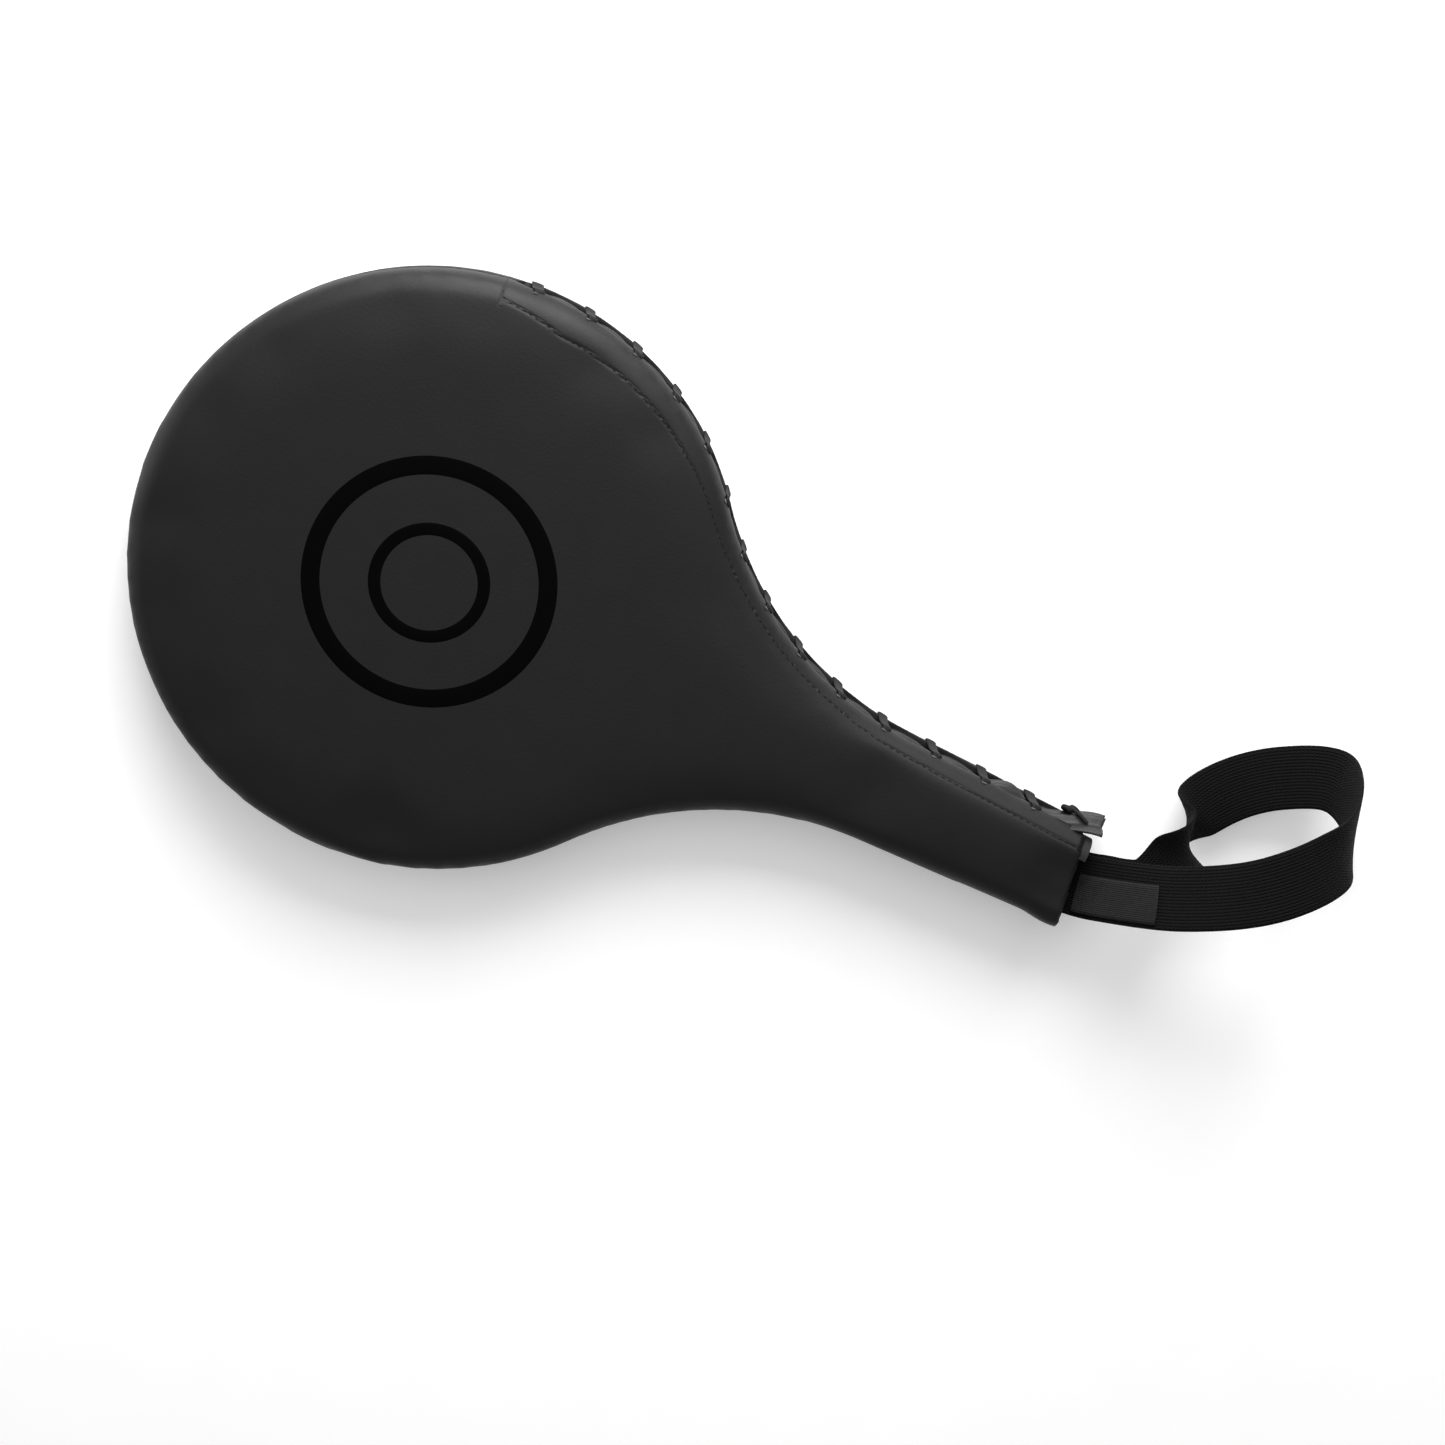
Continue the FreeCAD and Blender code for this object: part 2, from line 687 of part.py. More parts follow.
def label_line(strap_line):
    """The label's middle line, a little to one side of the strap's and just above its upper face."""
    lift = (size["strap_thickness"] + size["label_thickness"]) / 2 + size["label_clearance"]
    points = []
    for index in range(LABEL_POINTS):
        distance = size["label_start"] + size["label_length"] * index / (LABEL_POINTS - 1)
        parameter = strap_line.parameterAtDistance(distance, strap_line.FirstParameter)
        tangent = Vector(*strap_line.tangent(parameter)[0])
        across = square_to(Vector(*STRAP_WIDTH_AXIS), tangent)
        upward = tangent.cross(across)
        points.append(strap_line.value(parameter) - across * size["label_offset"] + upward * lift)
    return spline_through(points)


def outside_mouth(shape):
    """What lies beyond the handle's end."""
    start = size["body_reach"] + size["strap_start_gap"]
    block = Part.makeBox(FAR_AWAY, 2 * FAR_AWAY, 2 * FAR_AWAY, Vector(start, -FAR_AWAY, -FAR_AWAY))
    return shape.common(block)


def wrist_strap():
    """The webbing loop beyond the handle's end, and the woven label on its root."""
    strap_line = spline_through([Vector(*point) for point in STRAP_ROUTE])
    loop = ribbon(strap_line, size["strap_width"], size["strap_thickness"])
    solid_feature("wrist_strap", outside_mouth(loop))
    label = ribbon(label_line(strap_line), size["label_width"], size["label_thickness"])
    solid_feature("label_tab", outside_mouth(label))


# ---------------------------------------------------------------- the whole paddle

NODES = [
    "front_cover", "back_cover", "front_facing", "back_facing", "lace_tongue", "side_lace",
    "lace_start_knot", "lace_end_knot", "rim_seam_thread", "front_facing_thread", "back_facing_thread",
    "front_mark", "back_mark", "front_soft_foam", "back_soft_foam", "front_firm_foam", "back_firm_foam",
    "edge_foam", "core_board", "strap_tails", "strap_rivets", "wrist_strap", "label_tab",
]


def build():
    fill_sheet()
    cutters = lace_hole_cutters()
    rivets = strap_rivets()
    covers(cutters, facing_threads(), marks())
    facings(cutters)
    rim_seam()
    lace_tongue()
    side_lace()
    lace_knots()
    padding(rivets)
    strap_tails(rivets)
    wrist_strap()
    doc.recompute()


def check():
    """Stops on any failed object and on any node that isn't a sound solid."""
    for item in doc.Objects:
        if "Invalid" in item.State or "Error" in item.State:
            raise RuntimeError(f"{item.Label} failed: {item.getStatusString()}")
    for label in NODES:
        shape = doc.getObjectsByLabel(label)[0].Shape
        if shape.isNull() or not shape.isValid() or not shape.Solids:
            raise RuntimeError(f"{label} is not a valid solid")
        box = shape.BoundBox
        spans = " ".join(f"{low:.1f}..{high:.1f}" for low, high in (
            (box.XMin, box.XMax), (box.YMin, box.YMax), (box.ZMin, box.ZMax)))
        print(f"{label}: {len(shape.Solids)} solids, {shape.Volume:.0f} mm3, {spans}")


def export():
    os.makedirs("parts", exist_ok=True)
    for label in NODES:
        doc.getObjectsByLabel(label)[0].Shape.exportStep(f"parts/{label}.step")


build()
check()
export()
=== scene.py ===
import math

import bmesh
import bpy
import numpy as np
from mathutils import Matrix, Vector
from mathutils.bvhtree import BVHTree


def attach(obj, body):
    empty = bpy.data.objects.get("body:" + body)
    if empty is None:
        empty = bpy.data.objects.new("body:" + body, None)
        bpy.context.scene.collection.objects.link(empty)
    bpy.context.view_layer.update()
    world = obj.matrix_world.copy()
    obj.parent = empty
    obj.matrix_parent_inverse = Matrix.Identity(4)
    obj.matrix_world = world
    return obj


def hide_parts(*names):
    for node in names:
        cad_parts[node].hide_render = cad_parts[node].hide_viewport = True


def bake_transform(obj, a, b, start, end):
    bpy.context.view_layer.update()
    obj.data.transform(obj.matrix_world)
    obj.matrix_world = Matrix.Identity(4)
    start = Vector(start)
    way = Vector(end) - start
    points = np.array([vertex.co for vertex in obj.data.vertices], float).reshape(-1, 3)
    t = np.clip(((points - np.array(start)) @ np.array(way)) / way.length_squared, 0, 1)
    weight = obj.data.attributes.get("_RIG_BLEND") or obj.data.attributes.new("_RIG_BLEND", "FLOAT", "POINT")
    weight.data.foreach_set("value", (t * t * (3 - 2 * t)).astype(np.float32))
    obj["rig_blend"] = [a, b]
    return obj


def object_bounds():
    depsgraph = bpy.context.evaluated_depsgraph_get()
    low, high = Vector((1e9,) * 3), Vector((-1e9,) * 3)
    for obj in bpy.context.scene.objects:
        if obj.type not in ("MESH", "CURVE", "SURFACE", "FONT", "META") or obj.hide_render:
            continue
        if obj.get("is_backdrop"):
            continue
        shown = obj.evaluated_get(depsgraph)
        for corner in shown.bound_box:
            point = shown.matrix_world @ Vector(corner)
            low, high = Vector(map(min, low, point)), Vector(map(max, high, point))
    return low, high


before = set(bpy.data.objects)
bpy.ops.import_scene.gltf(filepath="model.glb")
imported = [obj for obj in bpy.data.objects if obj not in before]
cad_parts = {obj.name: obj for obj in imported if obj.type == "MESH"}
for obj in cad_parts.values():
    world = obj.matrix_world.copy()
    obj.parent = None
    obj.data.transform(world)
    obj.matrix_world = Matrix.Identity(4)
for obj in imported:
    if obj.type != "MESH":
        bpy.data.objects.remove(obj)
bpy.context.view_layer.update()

# A kick paddle lying on its back. Lengths are millimetres until a mesh is made, which is in metres.
# A place on the paddle's outside is (walk, rise): walk runs along the outline from the head's far end,
# positive down the laced side and negative down the plain side, and rise runs over the surface from the
# middle of the side, round the rim and onto a face. side is +1 for the front face and -1 for the back.

MM = 0.001
HEAD, NECK, REACH, END_HALF = 118.0, 137.0, 276.5, 19.6
TAPER = math.radians(2.12)
MID, RIM, WALL = 17.0, 9.0, 8.0
RIM_ARC = RIM * math.pi / 2
FACE_START = WALL + RIM_ARC
LACE_START = math.radians(98.5)
LACE_GAP, LACE_HOLE = 6.5, 9.5
LACE_PITCH, FIRST_CROSSING, CROSSINGS = 22.22, 7.6, 14
END_KNOT = FIRST_CROSSING + 13 * LACE_PITCH + 13.5
MOUTH_SLOPE = 0.17
MOST_SWELL = 2.2
STITCH_PITCH, STITCH_LENGTH, STITCH_THICKNESS = 2.9, 2.0, 0.42
SEAM_PITCH, SEAM_STITCH, SEAM_THICKNESS = 4.0, 2.7, 0.5
LACE_WIDTH, BAR_THICKNESS = 4.4, 0.75
STRAND_WIDTH, STRAND_THICKNESS = 3.6, 1.0
TONGUE_HALF, TONGUE_THICKNESS = 11.5, 1.1
LINER_HALF_WIDTH, LINER_HALF_HEIGHT, LINER_CORD = 0.9, 0.6, 0.22
RINGS = ((50.0, 41.0), (24.0, 18.0))
PAD_REACH, FIRM_REACH = 268, 225
CAMERA_ANGLE = 28
CAMERA_TURNS = (13.86, 5.52, -26.57)
CAMERA_PLACE = (111.6, -57.9, 1123.2)

ALONG = np.array([math.cos(TAPER), -math.sin(TAPER)])
OUT = np.array([math.sin(TAPER), math.cos(TAPER)])
EDGE = OUT @ np.array([REACH, END_HALF])
CENTRE = OUT * (EDGE + NECK) + ALONG * math.sqrt((HEAD + NECK) ** 2 - (EDGE + NECK) ** 2)
SHOULDER_ANGLE = math.atan2(CENTRE[1], CENTRE[0])
NECK_START = math.atan2(-CENTRE[1], -CENTRE[0])
NECK_END = math.atan2(-OUT[1], -OUT[0])
HEAD_RUN = HEAD * (math.pi - SHOULDER_ANGLE)
NECK_RUN = NECK * (NECK_END - NECK_START)
THROAT = CENTRE - OUT * NECK
HANDLE_RUN = float((np.array([REACH, END_HALF]) - THROAT) @ ALONG)
WALK_END = HEAD_RUN + NECK_RUN + HANDLE_RUN
LACE_WALK = HEAD * (math.pi - LACE_START)
FACING_WALK = HEAD * (math.pi - math.radians(100.5))
LACED_RUN = WALK_END - LACE_WALK


def smooth(value, low, high):
    """0 below low, 1 above high and an even turn between."""
    share = np.clip((np.asarray(value, float) - low) / (high - low), 0, 1)
    return share * share * (3 - 2 * share)


# ---------------------------------------------------------------- the outline

def edge_point(walk, inset):
    """Points in plan at a walk and an inset, and the outward directions there."""
    walk, inset = np.broadcast_arrays(np.asarray(walk, float), np.asarray(inset, float))
    run, side = np.abs(walk), np.sign(walk + 1e-12)
    turn = math.pi - run / HEAD
    head_out = np.stack([np.cos(turn), np.sin(turn)], -1)
    head = head_out * (HEAD - inset)[..., None]
    turn = NECK_START + (run - HEAD_RUN) / NECK
    neck_out = -np.stack([np.cos(turn), np.sin(turn)], -1)
    neck = CENTRE - neck_out * (NECK + inset)[..., None]
    past = (run - HEAD_RUN - NECK_RUN)[..., None]
    handle = THROAT + ALONG * past - OUT * inset[..., None]
    in_head, in_neck = (run < HEAD_RUN)[..., None], (run < HEAD_RUN + NECK_RUN)[..., None]
    point = np.where(in_head, head, np.where(in_neck, neck, handle))
    outward = np.where(in_head, head_out, np.where(in_neck, neck_out, OUT))
    flip = np.stack([np.ones_like(side), side], -1)
    return point * flip, outward * flip


def locate(points):
    """The walk and inset of points in plan."""
    x, side = points[:, 0], np.sign(points[:, 1] + 1e-12)
    y = np.abs(points[:, 1])
    angle = np.arctan2(y, x)
    head_walk, head_inset = HEAD * (math.pi - angle), HEAD - np.hypot(x, y)
    dx, dy = x - CENTRE[0], y - CENTRE[1]
    turn = np.arctan2(dy, dx)
    neck_walk, neck_inset = HEAD_RUN + NECK * (turn - NECK_START), np.hypot(dx, dy) - NECK
    past = (x - THROAT[0]) * ALONG[0] + (y - THROAT[1]) * ALONG[1]
    handle_inset = -((x - THROAT[0]) * OUT[0] + (y - THROAT[1]) * OUT[1])
    in_head, in_handle = angle > SHOULDER_ANGLE, past > 0
    walk = np.where(in_head, head_walk, np.where(in_handle, HEAD_RUN + NECK_RUN + past, neck_walk))
    inset = np.where(in_head, head_inset, np.where(in_handle, handle_inset, neck_inset))
    return walk * side, inset


def outside_point(walk, rise, side):
    """The plain surface's points at (walk, rise) on one side, and the outward directions there."""
    walk, rise = np.broadcast_arrays(np.asarray(walk, float), np.asarray(rise, float))
    turn = np.clip((rise - WALL) / RIM, 0, math.pi / 2)
    inset = RIM * (1 - np.cos(turn)) + np.maximum(rise - FACE_START, 0)
    height = np.minimum(rise, WALL) + RIM * np.sin(turn)
    plan, outward = edge_point(walk, inset)
    point = np.concatenate([plan, (MID + side * height)[..., None]], -1)
    normal = np.concatenate([outward * np.cos(turn)[..., None], (side * np.sin(turn))[..., None]], -1)
    return point, normal


def rise_of(inset, height):
    """How far over the surface a point is, from its inset and its height from the middle plane."""
    on_rim = WALL + RIM * np.arctan2(np.maximum(height - WALL, 0), np.maximum(RIM - inset, 1e-6))
    rise = np.where(height < WALL, height, on_rim)
    return np.where(inset > RIM, FACE_START + inset - RIM, rise)


def stitch_rise(walk):
    """How high the facing's stitch row lies over the surface."""
    past = walk - LACE_WALK
    stops = [-4, 24, 90, 150, 205, 260, 326]
    rises = [19, 24, 21.5, 17.5, 16, 18, 18.5]
    return np.interp(past, stops, rises)


def gap_half(walk):
    """Half the opening between the two covers, round at its start and pulled in at each crossing."""
    past = walk - LACE_WALK
    start = np.sqrt(np.clip(1 - ((8 - np.clip(past, 0, 8)) / 8) ** 2, 0, 1))
    pull = 0.5 - 0.5 * np.cos(2 * math.pi * (past - FIRST_CROSSING) / LACE_PITCH)
    corner = 8.5 * smooth(past, LACED_RUN - 8, LACED_RUN + 0.5)
    return start * (LACE_GAP - 0.7 + 1.3 * pull) + corner


# ---------------------------------------------------------------- mesh helpers

def new_object(name, points, faces, material=None):
    mesh = bpy.data.meshes.new(name)
    mesh.from_pydata((np.asarray(points, float) * MM).tolist(), [], faces)
    mesh.validate()
    obj = bpy.data.objects.new(name, mesh)
    bpy.context.scene.collection.objects.link(obj)
    smooth_shade(obj)
    if material:
        mesh.materials.append(material)
    return obj


def smooth_shade(obj):
    obj.data.polygons.foreach_set("use_smooth", [True] * len(obj.data.polygons))


def vertices(obj):
    points = np.empty(len(obj.data.vertices) * 3)
    obj.data.vertices.foreach_get("co", points)
    return points.reshape(-1, 3) / MM


def set_vertices(obj, points):
    obj.data.vertices.foreach_set("co", (points * MM).ravel())
    obj.data.update()


def apply_modifiers(obj):
    """Leaves the object with the mesh that its modifiers make."""
    evaluated = obj.evaluated_get(bpy.context.evaluated_depsgraph_get())
    made = bpy.data.meshes.new_from_object(evaluated)
    obj.modifiers.clear()
    obj.data = made
    smooth_shade(obj)


def soften(obj, levels=1):
    modifier = obj.modifiers.new("soften", "SUBSURF")
    modifier.levels = levels
    modifier.render_levels = levels
    apply_modifiers(obj)


def grid_faces(rows, columns, closed=False):
    """Quads of a grid of points, wrapped round its columns if closed."""
    wide = columns if closed else columns - 1
    return [
        (r * columns + c, r * columns + (c + 1) % columns,
         (r + 1) * columns + (c + 1) % columns, (r + 1) * columns + c)
        for r in range(rows - 1) for c in range(wide)
    ]


def float_layer(obj, name, values):
    layer = obj.data.attributes.get(name) or obj.data.attributes.new(name, "FLOAT", "POINT")
    layer.data.foreach_set("value", np.asarray(values, np.float32))


def unit(vectors):
    return vectors / np.maximum(np.linalg.norm(vectors, axis=-1, keepdims=True), 1e-9)


def spline(points, count):
    """Even points along a smooth curve through the given ones."""
    points = np.asarray(points, float)
    padded = np.vstack([2 * points[0] - points[1], points, 2 * points[-1] - points[-2]])
    fine = []
    for i in range(1, len(padded) - 2):
        a, b, c, d = padded[i - 1:i + 3]
        for t in np.linspace(0, 1, 24, endpoint=False):
            fine.append(0.5 * (2 * b + (c - a) * t + (2 * a - 5 * b + 4 * c - d) * t * t
                               + (3 * b - a - 3 * c + d) * t ** 3))
    fine.append(points[-1])
    fine = np.array(fine)
    length = np.concatenate([[0], np.cumsum(np.linalg.norm(np.diff(fine, axis=0), axis=1))])
    even = np.linspace(0, length[-1], count)
    return np.stack([np.interp(even, length, fine[:, k]) for k in range(3)], -1)


def evened(values, passes):
    """Rows of numbers averaged with their neighbours, ends kept."""
    values = values.copy()
    for _ in range(passes):
        values[1:-1] = (values[:-2] + 2 * values[1:-1] + values[2:]) / 4
    return values


def band(name, centres, across, width, thickness, material, bulge=0.25, columns=9):
    """A flat band with rounded edges along a line; across is the direction of its width."""
    centres = np.asarray(centres, float)
    tangents = unit(np.gradient(centres, axis=0))
    across = np.asarray(across, float)
    across = unit(across - tangents * np.sum(across * tangents, -1, keepdims=True))
    normals = np.cross(tangents, across)
    width = np.broadcast_to(np.asarray(width, float), len(centres))
    spread = np.linspace(-1, 1, columns)
    top = [(s, 1 - bulge * s ** 4) for s in spread]
    section = top + [(s, -h) for s, h in reversed(top)]
    section = np.array([(s, h / 2) for s, h in section])
    rows = []
    for centre, way, normal, wide in zip(centres, across, normals, width):
        rows.append(centre + way * (section[:, :1] * wide / 2) + normal * (section[:, 1:] * thickness))
    count = len(section)
    faces = grid_faces(len(rows), count, closed=True)
    faces.append(tuple(reversed(range(count))))
    faces.append(tuple((len(rows) - 1) * count + k for k in range(count)))
    return new_object(name, np.vstack(rows), faces, material)


def tube(name, centres, radius, material, sides=8):
    """A round cord along a line with closed ends."""
    centres = np.asarray(centres, float)
    tangents = unit(np.gradient(centres, axis=0))
    start = np.cross(tangents[0], [0.3, 0.2, 0.93])
    rows, way = [], unit(start)
    radii = np.broadcast_to(np.asarray(radius, float), len(centres))
    for centre, tangent, size in zip(centres, tangents, radii):
        way = unit(way - tangent * (way @ tangent))
        other = np.cross(tangent, way)
        angles = np.linspace(0, 2 * math.pi, sides, endpoint=False)[:, None]
        rows.append(centre + size * (np.cos(angles) * way + np.sin(angles) * other))
    faces = grid_faces(len(rows), sides, closed=True)
    faces.append(tuple(reversed(range(sides))))
    faces.append(tuple((len(rows) - 1) * sides + k for k in range(sides)))
    return new_object(name, np.vstack(rows), faces, material)


def joined(name, pieces):
    """Several mesh objects as one."""
    together = bmesh.new()
    for piece in pieces:
        together.from_mesh(piece.data)
    material = pieces[0].data.materials[0] if pieces[0].data.materials else None
    for piece in pieces:
        bpy.data.objects.remove(piece)
    mesh = bpy.data.meshes.new(name)
    together.to_mesh(mesh)
    together.free()
    obj = bpy.data.objects.new(name, mesh)
    bpy.context.scene.collection.objects.link(obj)
    smooth_shade(obj)
    if material:
        mesh.materials.append(material)
    return obj


def tree_of(obj):
    return BVHTree.FromPolygons([tuple(v) for v in vertices(obj)],
                                [tuple(p.vertices) for p in obj.data.polygons])


def on_surface(tree, points, normals, lift):
    """Points moved along their normals onto a surface, then lifted off it."""
    moved = []
    for point, normal in zip(points, normals):
        hit = tree.ray_cast(Vector(point + normal * 12), Vector(-normal), 20)
        place = np.array(hit[0]) if hit[0] is not None else point
        moved.append(place + normal * lift)
    return np.array(moved)


# ---------------------------------------------------------------- materials

def material_nodes(name, roughness, specular=0.5):
    material = bpy.data.materials.new(name)
    material.use_nodes = True
    tree = material.node_tree
    shader = tree.nodes["Principled BSDF"]
    shader.inputs["Roughness"].default_value = roughness
    shader.inputs["Specular IOR Level"].default_value = specular
    return material, tree, shader


def node(tree, kind, **values):
    made = tree.nodes.new(kind)
    for key, value in values.items():
        if hasattr(made, key):
            setattr(made, key, value)
        else:
            made.inputs[key].default_value = value
    return made


def place_noise(tree, scale, detail):
    """Noise in the piece's own coordinates."""
    place = node(tree, "ShaderNodeTexCoord")
    noise = node(tree, "ShaderNodeTexNoise")
    noise.inputs["Scale"].default_value = scale
    noise.inputs["Detail"].default_value = detail
    tree.links.new(place.outputs["Object"], noise.inputs["Vector"])
    return noise


def spread(tree, value, low, high):
    """A value from 0 to 1 as a value from low to high."""
    made = node(tree, "ShaderNodeMapRange")
    made.inputs["To Min"].default_value = low
    made.inputs["To Max"].default_value = high
    tree.links.new(value, made.inputs["Value"])
    return made.outputs["Result"]


def tint(tree, shader, value, dark, light):
    """The base colour between two greys."""
    mix = node(tree, "ShaderNodeMix", data_type="RGBA")
    mix.inputs["A"].default_value = (*dark, 1)
    mix.inputs["B"].default_value = (*light, 1)
    tree.links.new(value, mix.inputs["Factor"])
    tree.links.new(mix.outputs["Result"], shader.inputs["Base Color"])


def bump(tree, value, strength, distance, before=None):
    made = node(tree, "ShaderNodeBump")
    made.inputs["Strength"].default_value = strength
    made.inputs["Distance"].default_value = distance
    tree.links.new(value, made.inputs["Height"])
    if before:
        tree.links.new(before, made.inputs["Normal"])
    return made.outputs["Normal"]


def grey(level):
    return (level, level, level)


def leather(name, level, roughness=0.6, grain=0.25, grooved=False):
    """Matt coated leather: fine grain over slow unevenness, with a pressed line where it is stitched."""
    material, tree, shader = material_nodes(name, roughness, 0.3)
    slow = place_noise(tree, 9, 3)
    tint(tree, shader, slow.outputs["Fac"], grey(level * 0.86), grey(level * 1.12))
    rough = place_noise(tree, 60, 5)
    tree.links.new(spread(tree, rough.outputs["Fac"], roughness - 0.07, roughness + 0.07),
                   shader.inputs["Roughness"])
    wave = bump(tree, place_noise(tree, 22, 2).outputs["Fac"], 0.25, 0.0006)
    cells = node(tree, "ShaderNodeTexVoronoi", feature="SMOOTH_F1")
    cells.inputs["Scale"].default_value = 900
    place = node(tree, "ShaderNodeTexCoord")
    tree.links.new(place.outputs["Object"], cells.inputs["Vector"])
    normal = bump(tree, cells.outputs["Distance"], grain, 0.0002, wave)
    if grooved:
        layer = node(tree, "ShaderNodeAttribute", attribute_name="groove")
        square = node(tree, "ShaderNodeMath", operation="POWER")
        tree.links.new(layer.outputs["Fac"], square.inputs[0])
        square.inputs[1].default_value = 2
        less = node(tree, "ShaderNodeMath", operation="MULTIPLY")
        tree.links.new(square.outputs[0], less.inputs[0])
        less.inputs[1].default_value = -1.6
        bell = node(tree, "ShaderNodeMath", operation="EXPONENT")
        tree.links.new(less.outputs[0], bell.inputs[0])
        flipped = node(tree, "ShaderNodeMath", operation="MULTIPLY")
        tree.links.new(bell.outputs[0], flipped.inputs[0])
        flipped.inputs[1].default_value = -1
        normal = bump(tree, flipped.outputs[0], 0.6, 0.0005, normal)
    tree.links.new(normal, shader.inputs["Normal"])
    return material


def plain(name, level, roughness, scale, strength, specular=0.5, metallic=0.0):
    """A plain finish with uneven colour and a fine relief."""
    material, tree, shader = material_nodes(name, roughness, specular)
    shader.inputs["Metallic"].default_value = metallic
    noise = place_noise(tree, scale, 6)
    tint(tree, shader, noise.outputs["Fac"], grey(level * 0.75), grey(level * 1.25))
    tree.links.new(bump(tree, noise.outputs["Fac"], strength, 0.0004), shader.inputs["Normal"])
    return material


def webbing(name, level, ribs, picks):
    """Woven webbing in its own coordinates: ribs along it and picks across it."""
    material, tree, shader = material_nodes(name, 0.8, 0.08)
    shader.inputs["Sheen Weight"].default_value = 0.02
    shader.inputs["Sheen Roughness"].default_value = 0.5
    heights = []
    for layer_name, pitch in (("across_mm", ribs), ("along_mm", picks)):
        layer = node(tree, "ShaderNodeAttribute", attribute_name=layer_name)
        turn = node(tree, "ShaderNodeMath", operation="MULTIPLY")
        tree.links.new(layer.outputs["Fac"], turn.inputs[0])
        turn.inputs[1].default_value = 2 * math.pi / pitch
        wave = node(tree, "ShaderNodeMath", operation="SINE")
        tree.links.new(turn.outputs[0], wave.inputs[0])
        heights.append(wave.outputs[0])
    both = node(tree, "ShaderNodeMath", operation="MULTIPLY")
    tree.links.new(heights[0], both.inputs[0])
    tree.links.new(heights[1], both.inputs[1])
    weave = node(tree, "ShaderNodeMath", operation="ADD")
    tree.links.new(both.outputs[0], weave.inputs[0])
    tree.links.new(heights[0], weave.inputs[1])
    level_noise = place_noise(tree, 400, 3)
    shade = node(tree, "ShaderNodeMath", operation="ADD")
    tree.links.new(spread(tree, weave.outputs[0], 0.35, 0.65), shade.inputs[0])
    tree.links.new(spread(tree, level_noise.outputs["Fac"], -0.3, 0.3), shade.inputs[1])
    tint(tree, shader, shade.outputs[0], grey(level * 0.5), grey(level * 1.5))
    fuzz = bump(tree, level_noise.outputs["Fac"], 0.3, 0.0002)
    tree.links.new(bump(tree, weave.outputs[0], 0.7, 0.00035, fuzz), shader.inputs["Normal"])
    return material


COVER = leather("cover_leather", 0.0042, 0.56, 0.16, grooved=True)
TONGUE = leather("tongue_leather", 0.02, 0.5, 0.4)
LINING = leather("lining_leather", 0.01, 0.7, 0.2)
LACE = leather("lace_leather", 0.002, 0.75, 0.3)
THREAD = plain("black_thread", 0.003, 0.8, 2500, 0.6, 0.2)
PRINT = plain("black_print", 0.0006, 0.6, 300, 0.05, 0.03)
SOFT_FOAM = plain("soft_foam", 0.05, 0.95, 1200, 0.9)
FIRM_FOAM = plain("firm_foam", 0.02, 0.9, 1500, 0.8)
BOARD = plain("board_fibre", 0.12, 0.8, 700, 0.5)
STEEL = plain("rivet_steel", 0.5, 0.3, 900, 0.15, 0.5, 1.0)
RAW = plain("raw_leather_edge", 0.12, 0.8, 900, 0.4, 0.2)
STRAP = webbing("strap_webbing", 0.0024, 1.25, 1.6)
LABEL = webbing("label_weave", 0.017, 0.8, 0.8)


# ---------------------------------------------------------------- the two covers

def padded_body():
    """The paddle's whole outside as one closed mesh, a little flat, before it is filled."""
    walks = np.linspace(-WALK_END - 8, WALK_END + 8, 480)
    rises = np.concatenate([[0, 4, 8], WALL + RIM * np.radians([15, 30, 45, 60, 75, 90])])
    rows = []
    for side, order in ((-1, rises[::-1]), (1, rises[1:])):
        for rise in order:
            rows.append(outside_point(walks, rise, side)[0])
    rows = np.array(rows)
    faces = grid_faces(len(rows), len(walks), closed=True)
    faces.append(tuple(range(len(walks))))
    faces.append(tuple((len(rows) - 1) * len(walks) + k for k in reversed(range(len(walks)))))
    obj = new_object("padded_body", rows.reshape(-1, 3), faces)
    remesh = obj.modifiers.new("even", "REMESH")
    remesh.mode = "VOXEL"
    remesh.voxel_size = 0.0042
    apply_modifiers(obj)
    return obj


def fill_with_pressure(obj):
    """Cloth simulation: the leather is held at its seams and pressed outwards by the foam."""
    start = vertices(obj)
    walk, _ = locate(start[:, :2])
    height = start[:, 2] - MID
    laced = smooth(walk, LACE_WALK - 10, LACE_WALK + 6)
    held = 1 - smooth(np.abs(height) - 7 * laced, 1.0, 4.0)
    held = np.maximum(held, smooth(start[:, 0], 262, 276))
    face = smooth(np.abs(height), 12, 17)
    start[:, 2] = MID + height * (1 - 0.05 * face)
    set_vertices(obj, start)
    group = obj.vertex_groups.new(name="held")
    for index, weight in enumerate(held):
        group.add([index], float(weight), "REPLACE")
    cloth = obj.modifiers.new("leather", "CLOTH")
    settings = cloth.settings
    settings.quality = 6
    settings.mass = 0.4
    settings.tension_stiffness = 40
    settings.compression_stiffness = 25
    settings.shear_stiffness = 15
    settings.bending_stiffness = 20
    settings.use_pressure = True
    settings.uniform_pressure_force = 4
    settings.vertex_group_mass = "held"
    settings.pin_stiffness = 1
    settings.shrink_min = -0.002
    settings.effector_weights.gravity = 0
    cloth.collision_settings.use_collision = False
    scene = bpy.context.scene
    scene.frame_start, scene.frame_end = 1, 20
    for number in range(1, 21):
        scene.frame_set(number)
    apply_modifiers(obj)
    scene.frame_set(1)
    moved = neighbour_mean(obj, vertices(obj) - start, 6)
    size = np.linalg.norm(moved, axis=1, keepdims=True)
    moved *= MOST_SWELL * np.tanh(size / MOST_SWELL) / np.maximum(size, 1e-9)
    set_vertices(obj, start + moved)
    obj.vertex_groups.clear()


